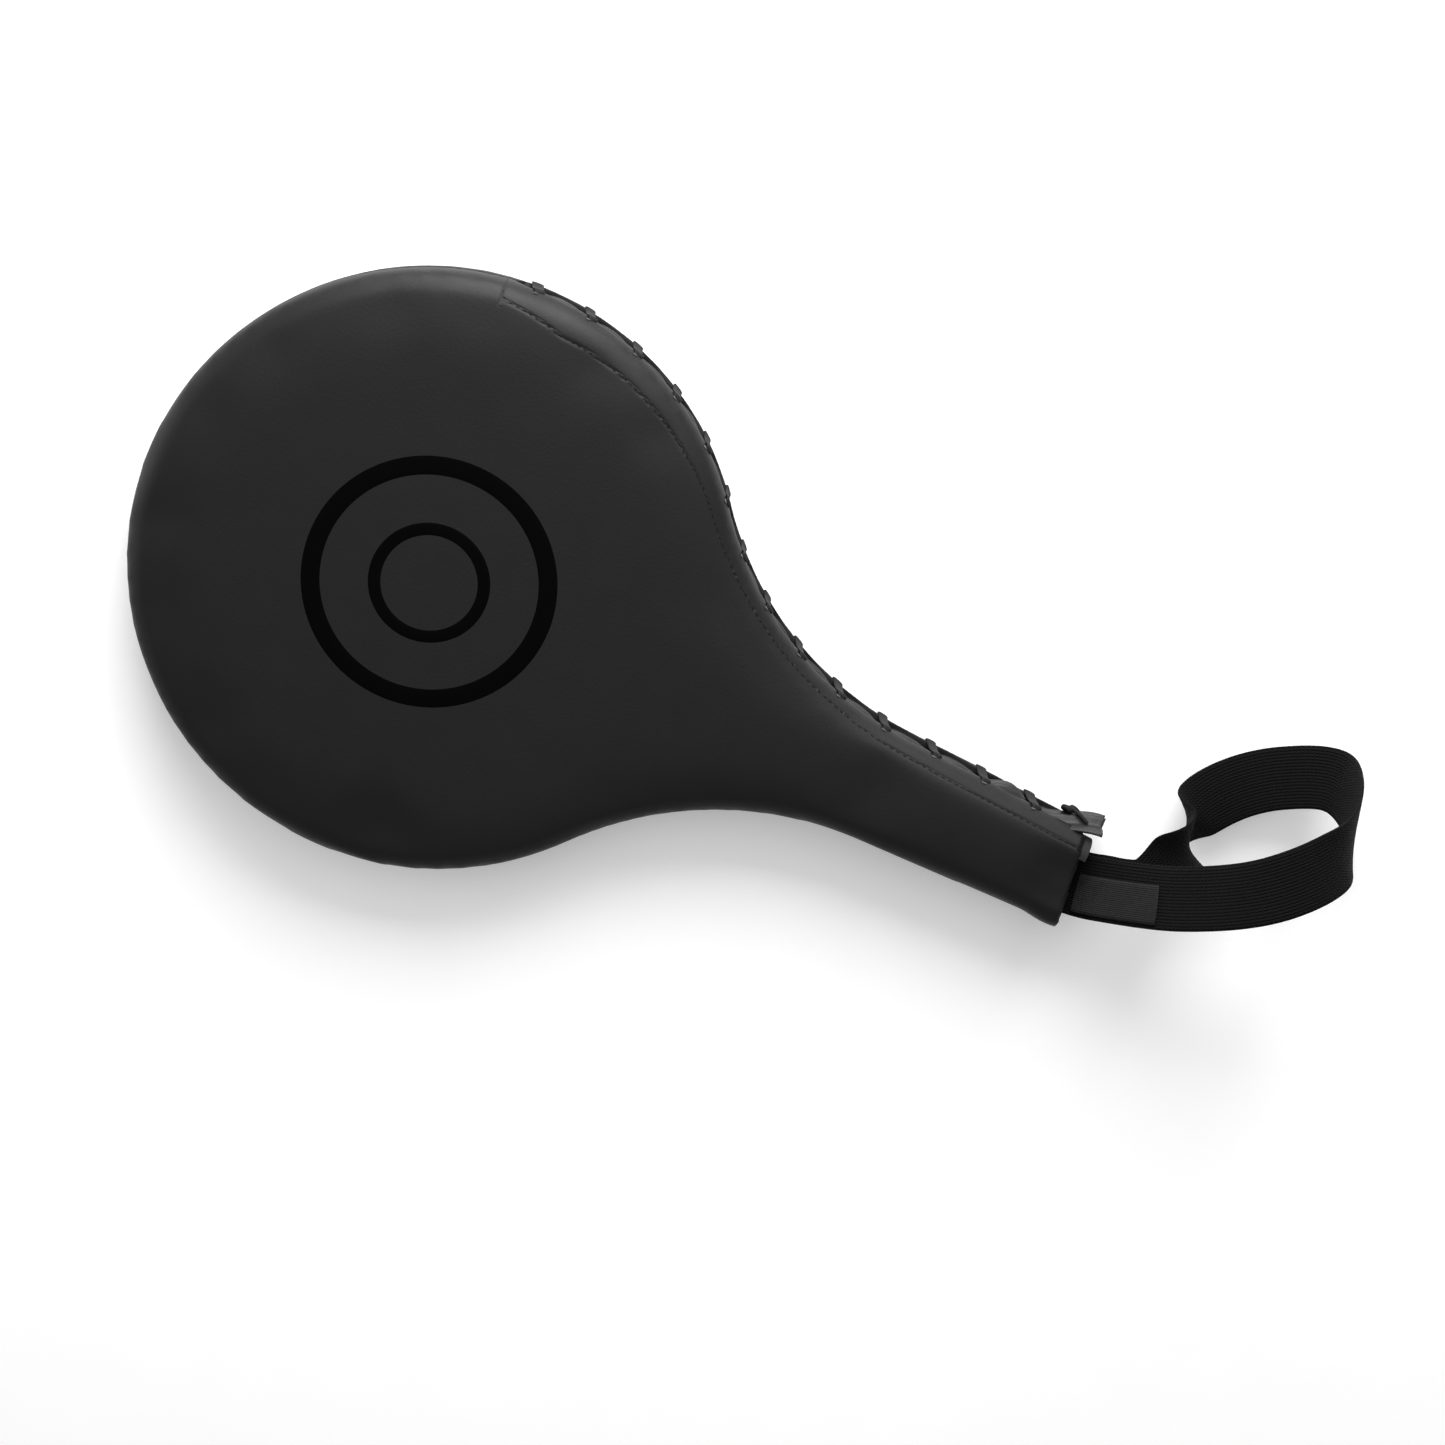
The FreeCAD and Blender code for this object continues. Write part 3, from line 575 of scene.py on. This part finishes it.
def neighbour_mean(obj, values, passes):
    """Values at the vertices, averaged with those of their neighbours."""
    ends = np.empty(len(obj.data.edges) * 2, np.int64)
    obj.data.edges.foreach_get("vertices", ends)
    first, second = ends.reshape(-1, 2).T
    count = np.bincount(first, minlength=len(values)) + np.bincount(second, minlength=len(values))
    for _ in range(passes):
        total = np.zeros_like(values)
        np.add.at(total, first, values[second])
        np.add.at(total, second, values[first])
        values = (values + total / np.maximum(count, 1)[:, None]) / 2
    return values


def cut_away(mesh, point, normal):
    """Cuts a bmesh by a plane and drops what is on the normal's side."""
    bmesh.ops.bisect_plane(mesh, geom=mesh.verts[:] + mesh.edges[:] + mesh.faces[:], dist=1e-7,
                           plane_co=Vector(point) * MM, plane_no=normal, clear_outer=True)


def half_cover(body, side, name):
    """One cover: half the body, open along the lacing and at the mouth, with its edges turned in."""
    mesh = bmesh.new()
    mesh.from_mesh(body.data)
    cut_away(mesh, (0, 0, MID), (0, 0, -side))
    cut_away(mesh, (REACH, 0, MID), (1, MOUTH_SLOPE, 0))
    obj = bpy.data.objects.new(name, bpy.data.meshes.new(name))
    mesh.to_mesh(obj.data)
    mesh.free()
    bpy.context.scene.collection.objects.link(obj)
    open_lacing(obj, side)
    shape_mouth(obj)
    turn_edges(obj)
    points = vertices(obj)
    float_layer(obj, "groove", groove_distance(points))
    smooth_shade(obj)
    return obj


def open_lacing(obj, side):
    """Slides the laced side's wall back over itself, so that its edge runs along the lacing's opening."""
    tree = tree_of(obj)
    points = vertices(obj)
    walk, inset = locate(points[:, :2])
    height = (points[:, 2] - MID) * side
    rise = rise_of(inset, height)
    gap = gap_half(walk) * smooth(walk, LACE_WALK - 0.01, LACE_WALK + 0.01)
    reach = 22.0
    slid = (gap > 0) & (rise < reach)
    target = gap + rise * (reach - gap) / reach
    place, normal = outside_point(walk, target, side)
    plain_place, _ = outside_point(walk, rise, side)
    swell = np.sum((points - plain_place) * normal, -1)
    for index in np.nonzero(slid)[0]:
        guess = place[index] + normal[index] * swell[index]
        hit = tree.ray_cast(Vector(guess + normal[index] * 6), Vector(-normal[index]), 12)
        points[index] = np.array(hit[0]) if hit[0] is not None else guess
    set_vertices(obj, points)


def shape_mouth(obj):
    """Presses the mouth a little shut, and lifts the corner away from the lacing."""
    points = vertices(obj)
    near = smooth(points[:, 0], REACH - 26, REACH)
    height = points[:, 2] - MID
    flat = smooth(12 - np.abs(points[:, 1] + 2), -6, 8)
    points[:, 2] -= near * flat * 1.6 * np.sign(height)
    corner = smooth(-points[:, 1], 14, 20) * smooth(points[:, 0], REACH - 14, REACH - 1)
    points[:, 1] -= corner * 1.6
    set_vertices(obj, points)


def turn_edges(obj):
    """Rounds every open edge over and carries it inwards, as a folded hem does."""
    mesh = bmesh.new()
    mesh.from_mesh(obj.data)
    at_mouth = mesh.verts.layers.float.new("at_mouth")
    edges = [e for e in mesh.edges if e.is_boundary]
    rim = {v for e in edges for v in e.verts}
    for vert in rim:
        vert[at_mouth] = float(vert.co.x + MOUTH_SLOPE * vert.co.y > (REACH - 1.0) * MM)
    move_rim(rim, at_mouth, 0.35)
    for depth in (0.9, 2.6):
        made = bmesh.ops.extrude_edge_only(mesh, edges=edges)["geom"]
        edges = [part for part in made if isinstance(part, bmesh.types.BMEdge) and part.is_boundary]
        move_rim([part for part in made if isinstance(part, bmesh.types.BMVert)], at_mouth, depth)
    mesh.verts.layers.float.remove(at_mouth)
    mesh.to_mesh(obj.data)
    mesh.free()


def move_rim(verts, at_mouth, depth):
    """Moves open-edge points towards the inside of the paddle, or back into its mouth."""
    for vert in verts:
        x, y, z = (c / MM for c in vert.co)
        walk, _ = locate(np.array([[x, y]]))
        outward = edge_point(walk, 0.0)[1][0]
        height = z - MID
        inwards = np.array([-outward[0], -outward[1], 0.0])
        if vert[at_mouth]:
            flat = float(smooth(abs(height), 11, 16))
            inwards = np.array([-1.2, -outward[1] * (1 - flat), -np.sign(height) * flat])
        vert.co += Vector(inwards) * depth * MM


def groove_distance(points):
    """How far each point is from the nearest stitch row, in millimetres."""
    walk, inset = locate(points[:, :2])
    rise = rise_of(inset, np.abs(points[:, 2] - MID))
    along = np.where(walk > FACING_WALK, np.abs(rise - stitch_rise(walk)), 9)
    start = np.where((rise < 23) & (rise > 1), np.abs(walk - FACING_WALK), 9)
    return np.minimum(np.minimum(along, start), 9)


# ---------------------------------------------------------------- stitches

def stitch(start, end, normal, thickness):
    """One stitch: a short cord that rises between two needle holes."""
    shares = np.array([0, 0.12, 0.3, 0.5, 0.7, 0.88, 1])
    lift = np.array([-0.5, 0.05, 0.28, 0.32, 0.28, 0.05, -0.5]) * thickness
    centres = start + (end - start) * shares[:, None] + normal * lift[:, None]
    angles = np.linspace(0, 2 * math.pi, 6, endpoint=False)[:, None]
    tangent = unit(end - start)
    side = unit(np.cross(tangent, normal))
    up = np.cross(side, tangent)
    ring = thickness / 2 * (np.cos(angles) * side + np.sin(angles) * up)
    return np.vstack([centre + ring for centre in centres])


def stitches(name, places, normals, length, thickness):
    """A row of stitches through the needle holes at places."""
    points, faces = [], []
    for start, end, normal in zip(places, places[1:], normals):
        way = end - start
        distance = np.linalg.norm(way)
        short = way * (1 - length / distance) / 2
        made = stitch(start + short, end - short, normal, thickness)
        offset = len(points) * len(made)
        faces += [tuple(offset + i for i in face) for face in grid_faces(7, 6, closed=True)]
        points.append(made)
    return new_object(name, np.vstack(points), faces, THREAD)


def facing_stitches(tree, side, name):
    """The row that holds a facing: up the wall from the seam, then along beside the lacing."""
    rises = np.arange(2.5, stitch_rise(FACING_WALK) + 0.1, STITCH_PITCH)
    walks = np.arange(FACING_WALK, WALK_END - 0.5, STITCH_PITCH)
    walk = np.concatenate([np.full(len(rises), FACING_WALK), walks[1:]])
    rise = np.concatenate([rises, stitch_rise(walks[1:])])
    place, normal = outside_point(walk, rise, side)
    place = on_surface(tree, place, normal, -0.15)
    return stitches(name, place, normal, STITCH_LENGTH, STITCH_THICKNESS)


def seam_stitches():
    """The small stitches that close the seam round the plain side."""
    walks = np.arange(-WALK_END + 2, LACE_WALK - 1.5, SEAM_PITCH)
    place, normal = outside_point(walks, 0.0, 1)
    place = place - normal * 0.35
    return stitches("seam_stitches", place, normal, SEAM_STITCH, SEAM_THICKNESS)


# ---------------------------------------------------------------- lacing

def crossing_walks():
    return LACE_WALK + FIRST_CROSSING + LACE_PITCH * np.arange(CROSSINGS)


def outer_bar(walk, skew):
    """One bar of the lace's line: out of a front hole, over the opening and into a back hole."""
    hole = [LACE_HOLE, LACE_HOLE + 0.2, LACE_HOLE - 0.9]
    front = np.array(hole + [LACE_GAP + 0.8, LACE_GAP - 1.2, 3.0, 0.0])
    depth = np.array([-3.0, -1.1, 0.15, 0.2, -0.2, -0.4, -0.5])
    rises = np.concatenate([front, front[-2::-1]])
    sides = np.concatenate([np.ones(6), [1.0], -np.ones(6)])
    depths = np.concatenate([depth, depth[-2::-1]])
    slant = np.linspace(-skew, skew, len(rises))
    line, out = [], []
    for rise, side, lift, shift in zip(rises, sides, depths, slant):
        place, normal = outside_point(walk + shift, rise, side)
        line.append(place + normal * lift)
        out.append(normal)
    return np.array(line), np.array(out)


def lace():
    """The flat lace: bars outside and slanting strands underneath."""
    rng = np.random.default_rng(7)
    pieces = []
    walks = crossing_walks()
    for index, walk in enumerate(walks):
        line, out = outer_bar(walk, -rng.uniform(0.9, 2.4))
        path = spline(line, 40)
        shares, known = np.linspace(0, 1, 40), np.linspace(0, 1, len(out))
        normals = np.stack([np.interp(shares, known, out[:, k]) for k in range(3)], -1)
        across = np.cross(unit(np.gradient(path, axis=0)), normals)
        ends = np.minimum(np.arange(40), np.arange(40)[::-1]) / 7
        width = LACE_WIDTH * (0.62 + 0.38 * np.clip(ends, 0, 1)) * (1 + rng.uniform(-0.06, 0.06))
        pieces.append(band(f"bar_{index}", path, across, width, BAR_THICKNESS, LACE, 0.5))
    for index, (walk, following) in enumerate(zip(walks, walks[1:])):
        start, start_out = outside_point(walk, LACE_HOLE - 1.0, -1)
        end, end_out = outside_point(following, LACE_HOLE - 1.0, 1)
        middle, middle_out = outside_point((walk + following) / 2, 0.0, 1)
        path = spline([start - start_out * 3, middle - middle_out * 5.6, end - end_out * 3], 24)
        across = np.cross(unit(np.gradient(path, axis=0)), np.repeat(middle_out[None], 24, 0))
        pieces.append(band(f"strand_{index}", path, across, STRAND_WIDTH, STRAND_THICKNESS, LACE, 0.5))
    return joined("lacing", pieces)


def tongue():
    """The wrinkled strip under the lacing, which swells between the bars."""
    rng = np.random.default_rng(3)
    walks = np.arange(LACE_WALK - 2.0, WALK_END + 2.6, 1.0)
    rises = np.linspace(-TONGUE_HALF, TONGUE_HALF, 47)
    rows = []
    phases = rng.uniform(-0.6, 0.6, CROSSINGS + 2)
    for walk in walks:
        run = walk - LACE_WALK
        past = (run - FIRST_CROSSING) / LACE_PITCH
        cell = int(np.clip(math.floor(past) + 1, 0, CROSSINGS))
        between = 0.8
        if 0 < past < CROSSINGS - 1:
            between = math.sin(math.pi * (past - math.floor(past))) ** 0.6
        opening = smooth(5.9 - np.abs(rises), 0, 2.6)
        wander = 0.25 * math.sin(walk / 3.1 + phases[cell] * 9)
        pleats = np.cos(rises * 2 * math.pi / 4.4 + phases[cell] * 3 + wander)
        crease = 0.9 * np.sign(pleats) * np.abs(pleats) ** 0.6
        swell = 2.6 * math.exp(-((run - 286) / 8) ** 2)
        flare = 9.0 * float(smooth(run, LACED_RUN - 24, LACED_RUN + 3))
        depth = 5.2 - opening * (1.5 + between * (2.0 + crease) + swell) - flare
        side = np.where(rises < 0, -1.0, 1.0)
        place, normal = outside_point(walk, np.abs(rises), 1)
        place[:, 2] = MID + (place[:, 2] - MID) * side
        normal[:, 2] *= side
        rows.append(place - normal * depth[:, None])
    rows = np.array(rows)
    obj = new_object("tongue", rows.reshape(-1, 3), grid_faces(len(walks), len(rises)), TONGUE)
    modifier = obj.modifiers.new("thick", "SOLIDIFY")
    modifier.thickness = TONGUE_THICKNESS * MM
    modifier.offset = -1
    apply_modifiers(obj)
    return obj


def start_knot():
    """The knot that starts the lace in the opening's round end."""
    place, normal = outside_point(LACE_WALK + 3.2, 0.0, 1)
    centre = place - normal * 1.6
    along = unit(outside_point(LACE_WALK + 5.2, 0.0, 1)[0] - place)
    up = np.array([0, 0, 1.0])
    turns = np.linspace(0, 2 * math.pi, 28)
    loop = centre + 1.2 * (np.cos(turns)[:, None] * up + np.sin(turns)[:, None] * along * 0.9)
    loop += normal * (0.5 * np.sin(turns * 1.5))[:, None]
    ring = tube("knot_ring", loop, 0.75, LACE)
    tail = spline([centre - up * 1.5 + normal * 0.4, centre + normal * 1.3, centre + up * 2.6 + normal * 0.2,
                   centre + up * 4.6 - normal * 2.2], 20)
    return joined("start_knot", [ring, tube("knot_tail", tail, 0.8, LACE)])


def end_knot():
    """The knot and the two loose tails that end the lace at the mouth."""
    place, normal = outside_point(LACE_WALK + END_KNOT, 0.0, 1)
    along = np.array([*ALONG, 0.0])
    up = np.array([0, 0, 1.0])
    centre = place + normal * 3.4 + up * 2.0
    turns = np.linspace(0, 2.25 * math.pi, 34)
    loop = centre + 2.0 * np.cos(turns)[:, None] * up + 1.7 * np.sin(turns)[:, None] * along
    loop += normal * (0.7 * np.sin(turns * 1.3 + 0.4))[:, None]
    pieces = [tube("end_ring", loop, 1.05, LACE)]
    routes = [
        [centre - along * 2, centre + up * 1.5 + along * 1.5 + normal * 1.2,
         centre + along * 5 + up * 3.4 + normal * 0.8, centre + along * 9 + up * 4.6 - normal * 0.6],
        [centre + up * 2, centre - up * 1.2 + along * 1.6 + normal * 1.3,
         centre + along * 4.6 - up * 3.0 + normal * 0.5, centre + along * 8 - up * 5.4 - normal * 1.6],
    ]
    for index, route in enumerate(routes):
        path = spline(route, 24)
        pieces.append(tube(f"end_tail_{index}", path, np.linspace(1.05, 0.75, 24), LACE))
    return joined("end_knot", pieces)


def hole_liners(trees):
    """The pale raw leather that shows at the far side of each lace hole."""
    pieces = []
    for index, walk in enumerate(crossing_walks()):
        for side in (1, -1):
            place, normal = outside_point(walk, LACE_HOLE + 1.0, side)
            place = on_surface(trees[side], place[None], normal[None], 0.02)[0]
            up = unit(outside_point(walk, LACE_HOLE + 2.0, side)[0] - place)
            across = np.cross(up, normal)
            turns = np.linspace(0, 2 * math.pi, 14)[:-1]
            ring = place + LINER_HALF_WIDTH * np.cos(turns)[:, None] * across
            ring = ring + LINER_HALF_HEIGHT * np.sin(turns)[:, None] * up
            ring = np.vstack([ring, ring[:1], ring[1:2]])
            pieces.append(tube(f"liner_{index}_{side}", ring, LINER_CORD, RAW, 6))
    return joined("hole_liners", pieces)


# ---------------------------------------------------------------- print, padding and hardware

def printed_rings(tree, side, name):
    """Two plain rings that follow the face."""
    pieces = []
    for index, (outer, inner) in enumerate(RINGS):
        turns = np.linspace(0, 2 * math.pi, 160, endpoint=False)
        radii = np.linspace(inner, outer, 7)
        lifts = np.array([-0.1, 0.07, 0.09, 0.09, 0.09, 0.07, -0.1])
        rows = []
        for radius, lift in zip(radii, lifts):
            plan = np.stack([radius * np.cos(turns), radius * np.sin(turns)], -1)
            place = np.column_stack([plan, np.full(len(turns), MID + side * 17)])
            normal = np.tile([0, 0, float(side)], (len(turns), 1))
            rows.append(on_surface(tree, place, normal, lift))
        faces = grid_faces(len(radii), len(turns), closed=True)
        pieces.append(new_object(f"{name}_{index}", np.vstack(rows), faces, PRINT))
    return joined(name, pieces)


def slab(name, low, high, inset, reach, material, round_by=1.5, hollow=None):
    """A flat foam sheet with the paddle's outline and soft edges."""
    walks = np.linspace(-WALK_END, WALK_END, 300)
    rows = []
    for deep, z in ((inset + round_by, low), (inset, low + round_by), (inset, high - round_by),
                    (inset + round_by, high)):
        plan, _ = edge_point(walks, deep)
        plan[:, 0] = np.minimum(plan[:, 0], reach)
        rows.append(np.column_stack([plan, np.full(len(walks), z)]))
    if hollow:
        for z in (high, low):
            plan, _ = edge_point(walks, hollow)
            plan[:, 0] = np.minimum(plan[:, 0], reach)
            rows.append(np.column_stack([plan, np.full(len(walks), z)]))
        rows.append(rows[0])
        faces = grid_faces(len(rows), len(walks))
        return new_object(name, np.vstack(rows), faces, material)
    count = len(walks)
    faces = grid_faces(len(rows), count, closed=True)
    faces.append(tuple(range(count)))
    faces.append(tuple((len(rows) - 1) * count + k for k in reversed(range(count))))
    return new_object(name, np.vstack(rows), faces, material)


def padding():
    """The foam layers inside, seen only through the mouth and the lacing."""
    soft = (6.5, PAD_REACH, SOFT_FOAM, 2.0)
    firm = (8.2, FIRM_REACH, FIRM_FOAM, 0.5)
    edge = (7.4, FIRM_REACH, SOFT_FOAM, 0.4, 8.1)
    pads = (
        ("front_padding", 24.6, 29.5, soft, "front_soft_foam", "soft_foam"),
        ("back_padding", 4.5, 9.4, soft, "back_soft_foam", "soft_foam"),
        ("front_firm_pad", 19.7, 24.3, firm, "front_firm_foam", "firm_foam"),
        ("back_firm_pad", 9.7, 14.3, firm, "back_firm_foam", "firm_foam"),
        ("edge_pad", 9.7, 24.3, edge, "edge_foam", "soft_foam"),
    )
    for name, low, high, form, cad, slot in pads:
        piece = slab(name, low, high, *form)
        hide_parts(cad)
        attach(piece, "paddle")


# ---------------------------------------------------------------- strap and label

STRAP_ROUTE = [
    (228, -3, 20.4), (248, -3, 20.4), (265, -4, 19), (277, -3, 19.5), (289, 2, 28), (311, 19, 56),
    (334, 40, 73), (354, 61, 66), (358, 74, 46), (352, 80, 22), (335, 70, 11), (320, 56, 8),
    (310, 41, 13), (311, 30, 25), (305, 10, 27), (289, 1, 20), (277, -3, 15.2), (265, -4, 14.6),
    (248, -3, 13.6), (228, -3, 13.6),
]
STRAP_AXIS = (-0.27, 0.95, -0.26)
STRAP_WIDTH, STRAP_THICKNESS = 25.0, 1.5
LABEL_WIDTH, LABEL_THICKNESS = 15.5, 0.9
LABEL_FROM, LABEL_LENGTH, LABEL_OFFSET, LABEL_CLEARANCE = 281.0, 40.5, 3.0, 0.35


def strap_frame(count=340):
    """The strap's middle line, its width's direction and the run along it."""
    centres = spline(STRAP_ROUTE, count)
    tangents = unit(np.gradient(centres, axis=0))
    inside = smooth(centres[:, 0], 262, 280)[:, None]
    way = np.array([0, 1.0, 0]) * (1 - inside) + np.array(STRAP_AXIS) * inside
    across = unit(way - tangents * np.sum(way * tangents, -1, keepdims=True))
    across = unit(evened(across, 6))
    run = np.concatenate([[0], np.cumsum(np.linalg.norm(np.diff(centres, axis=0), axis=1))])
    return centres, across, run


def ribbon(name, centres, across, run, width, thickness, material, columns):
    """Webbing along a line, with its own woven coordinates."""
    obj = band(name, centres, across, width, thickness, material, 0.35, columns)
    spread_over = np.concatenate([np.linspace(-1, 1, columns), np.linspace(1, -1, columns)]) * width / 2
    float_layer(obj, "along_mm", np.repeat(run, 2 * columns))
    float_layer(obj, "across_mm", np.tile(spread_over, len(centres)))
    return obj


def strap():
    """The wrist strap with its two tails inside the handle, as one band."""
    centres, across, run = strap_frame()
    obj = ribbon("strap", centres, across, run, STRAP_WIDTH, STRAP_THICKNESS, STRAP, 17)
    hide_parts("wrist_strap", "strap_tails")
    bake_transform(obj, "paddle", "strap", start=(0.2695, -0.003, 0.017), end=(0.2865, -0.003, 0.017))
    return obj


def label():
    """The woven label that lies on the strap's upper layer, close to the mouth."""
    centres, across, run = strap_frame(1200)
    first = int(np.argmax(centres[:, 0] > LABEL_FROM))
    last = int(np.argmax(run > run[first] + LABEL_LENGTH))
    tangents = unit(np.gradient(centres, axis=0))
    upward = unit(np.cross(tangents, across))
    lift = (STRAP_THICKNESS + LABEL_THICKNESS) / 2 + LABEL_CLEARANCE
    line = (centres - across * LABEL_OFFSET + upward * lift)[first:last]
    part = slice(first, last)
    obj = ribbon("label", line, across[part], run[part], LABEL_WIDTH, LABEL_THICKNESS, LABEL, 11)
    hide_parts("label_tab")
    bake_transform(obj, "paddle", "strap", start=(0.2695, -0.003, 0.017), end=(0.2865, -0.003, 0.017))
    return obj


# ---------------------------------------------------------------- putting it together

def covers():
    body = padded_body()
    fill_with_pressure(body)
    soften(body)
    trees = {}
    for side, name, cad in ((1, "front_panel", "front_cover"), (-1, "back_panel", "back_cover")):
        panel = half_cover(body, side, name)
        panel.data.materials.clear()
        panel.data.materials.append(COVER)
        trees[side] = tree_of(panel)
        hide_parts(cad)
        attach(panel, "paddle")
    bpy.data.objects.remove(body)
    return trees


def stand_in(piece, cads):
    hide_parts(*cads)
    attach(piece, "paddle")


def finish_cad():
    """Gives the solids that still show their finishes."""
    finishes = {"core_board": BOARD, "strap_rivets": STEEL, "front_facing": LINING, "back_facing": LINING}
    for name, material in finishes.items():
        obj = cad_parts[name]
        obj.data.materials.clear()
        obj.data.materials.append(material)


def studio():
    """A pale floor and even white light from all round."""
    low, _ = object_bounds()
    bpy.ops.mesh.primitive_plane_add(size=6, location=(0.1, 0, low.z - 0.0004))
    floor = bpy.context.object
    floor.name = "floor"
    material, tree, shader = material_nodes("pale_floor", 0.8, 0.2)
    shader.inputs["Emission Color"].default_value = (1, 1, 1, 1)
    shader.inputs["Emission Strength"].default_value = 0.25
    noise = place_noise(tree, 40, 3)
    tint(tree, shader, noise.outputs["Fac"], grey(0.83), grey(0.86))
    floor.data.materials.append(material)
    floor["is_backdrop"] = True
    world = bpy.data.worlds.new("studio")
    bpy.context.scene.world = world
    world.use_nodes = True
    world.node_tree.nodes["Background"].inputs["Color"].default_value = (1, 1, 1, 1)
    world.node_tree.nodes["Background"].inputs["Strength"].default_value = 0.24
    bpy.context.scene.view_settings.view_transform = "Standard"


def camera_axes():
    """The camera's right, up and backward directions: tilt, then turn, then roll."""
    tilt, turn, roll = (math.radians(angle) for angle in CAMERA_TURNS)
    about_x = Matrix.Rotation(tilt, 3, "X")
    about_y = Matrix.Rotation(turn, 3, "Y")
    about_z = Matrix.Rotation(roll, 3, "Z")
    return (about_z @ about_x @ about_y).transposed()


def camera_and_lights():
    axes = camera_axes()
    right, up, back = (axes.col[k] for k in range(3))
    middle = Vector((0, 0, MID)) * MM
    along, above, away = CAMERA_PLACE
    place = middle + (right * along + up * above + back * away) * MM
    data = bpy.data.cameras.new("camera")
    data.angle = math.radians(CAMERA_ANGLE)
    data.clip_start = 0.05
    camera = bpy.data.objects.new("camera", data)
    bpy.context.scene.collection.objects.link(camera)
    camera.matrix_world = Matrix.Translation(place) @ axes.to_4x4()
    bpy.context.scene.camera = camera
    lamps = (
        ("top_light", up * 0.85 + back * 0.75 + right * 0.2, 0.9, 29.0),
        ("front_light", up * 0.3 + back * 1.8 + right * 0.2, 1.2, 10.0),
        ("left_light", back * 0.25 - right * 1.3 + up * 0.25, 0.7, 5.0),
    )
    aim = Vector((0.05, 0, 0.01))
    for name, offset, size, power in lamps:
        lamp = bpy.data.lights.new(name, "AREA")
        lamp.shape = "SQUARE"
        lamp.size = size
        lamp.energy = power
        obj = bpy.data.objects.new(name, lamp)
        bpy.context.scene.collection.objects.link(obj)
        obj.location = aim + offset
        obj.rotation_euler = (aim - obj.location).to_track_quat("-Z", "Y").to_euler()


def main():
    trees = covers()
    stand_in(facing_stitches(trees[1], 1, "front_stitches"), ["front_facing_thread"])
    stand_in(facing_stitches(trees[-1], -1, "back_stitches"), ["back_facing_thread"])
    stand_in(seam_stitches(), ["rim_seam_thread"])
    stand_in(tongue(), ["lace_tongue"])
    stand_in(lace(), ["side_lace"])
    stand_in(start_knot(), ["lace_start_knot"])
    stand_in(end_knot(), ["lace_end_knot"])
    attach(hole_liners(trees), "paddle")
    stand_in(printed_rings(trees[1], 1, "front_rings"), ["front_mark"])
    stand_in(printed_rings(trees[-1], -1, "back_rings"), ["back_mark"])
    padding()
    strap()
    label()
    finish_cad()
    studio()
    camera_and_lights()


main()
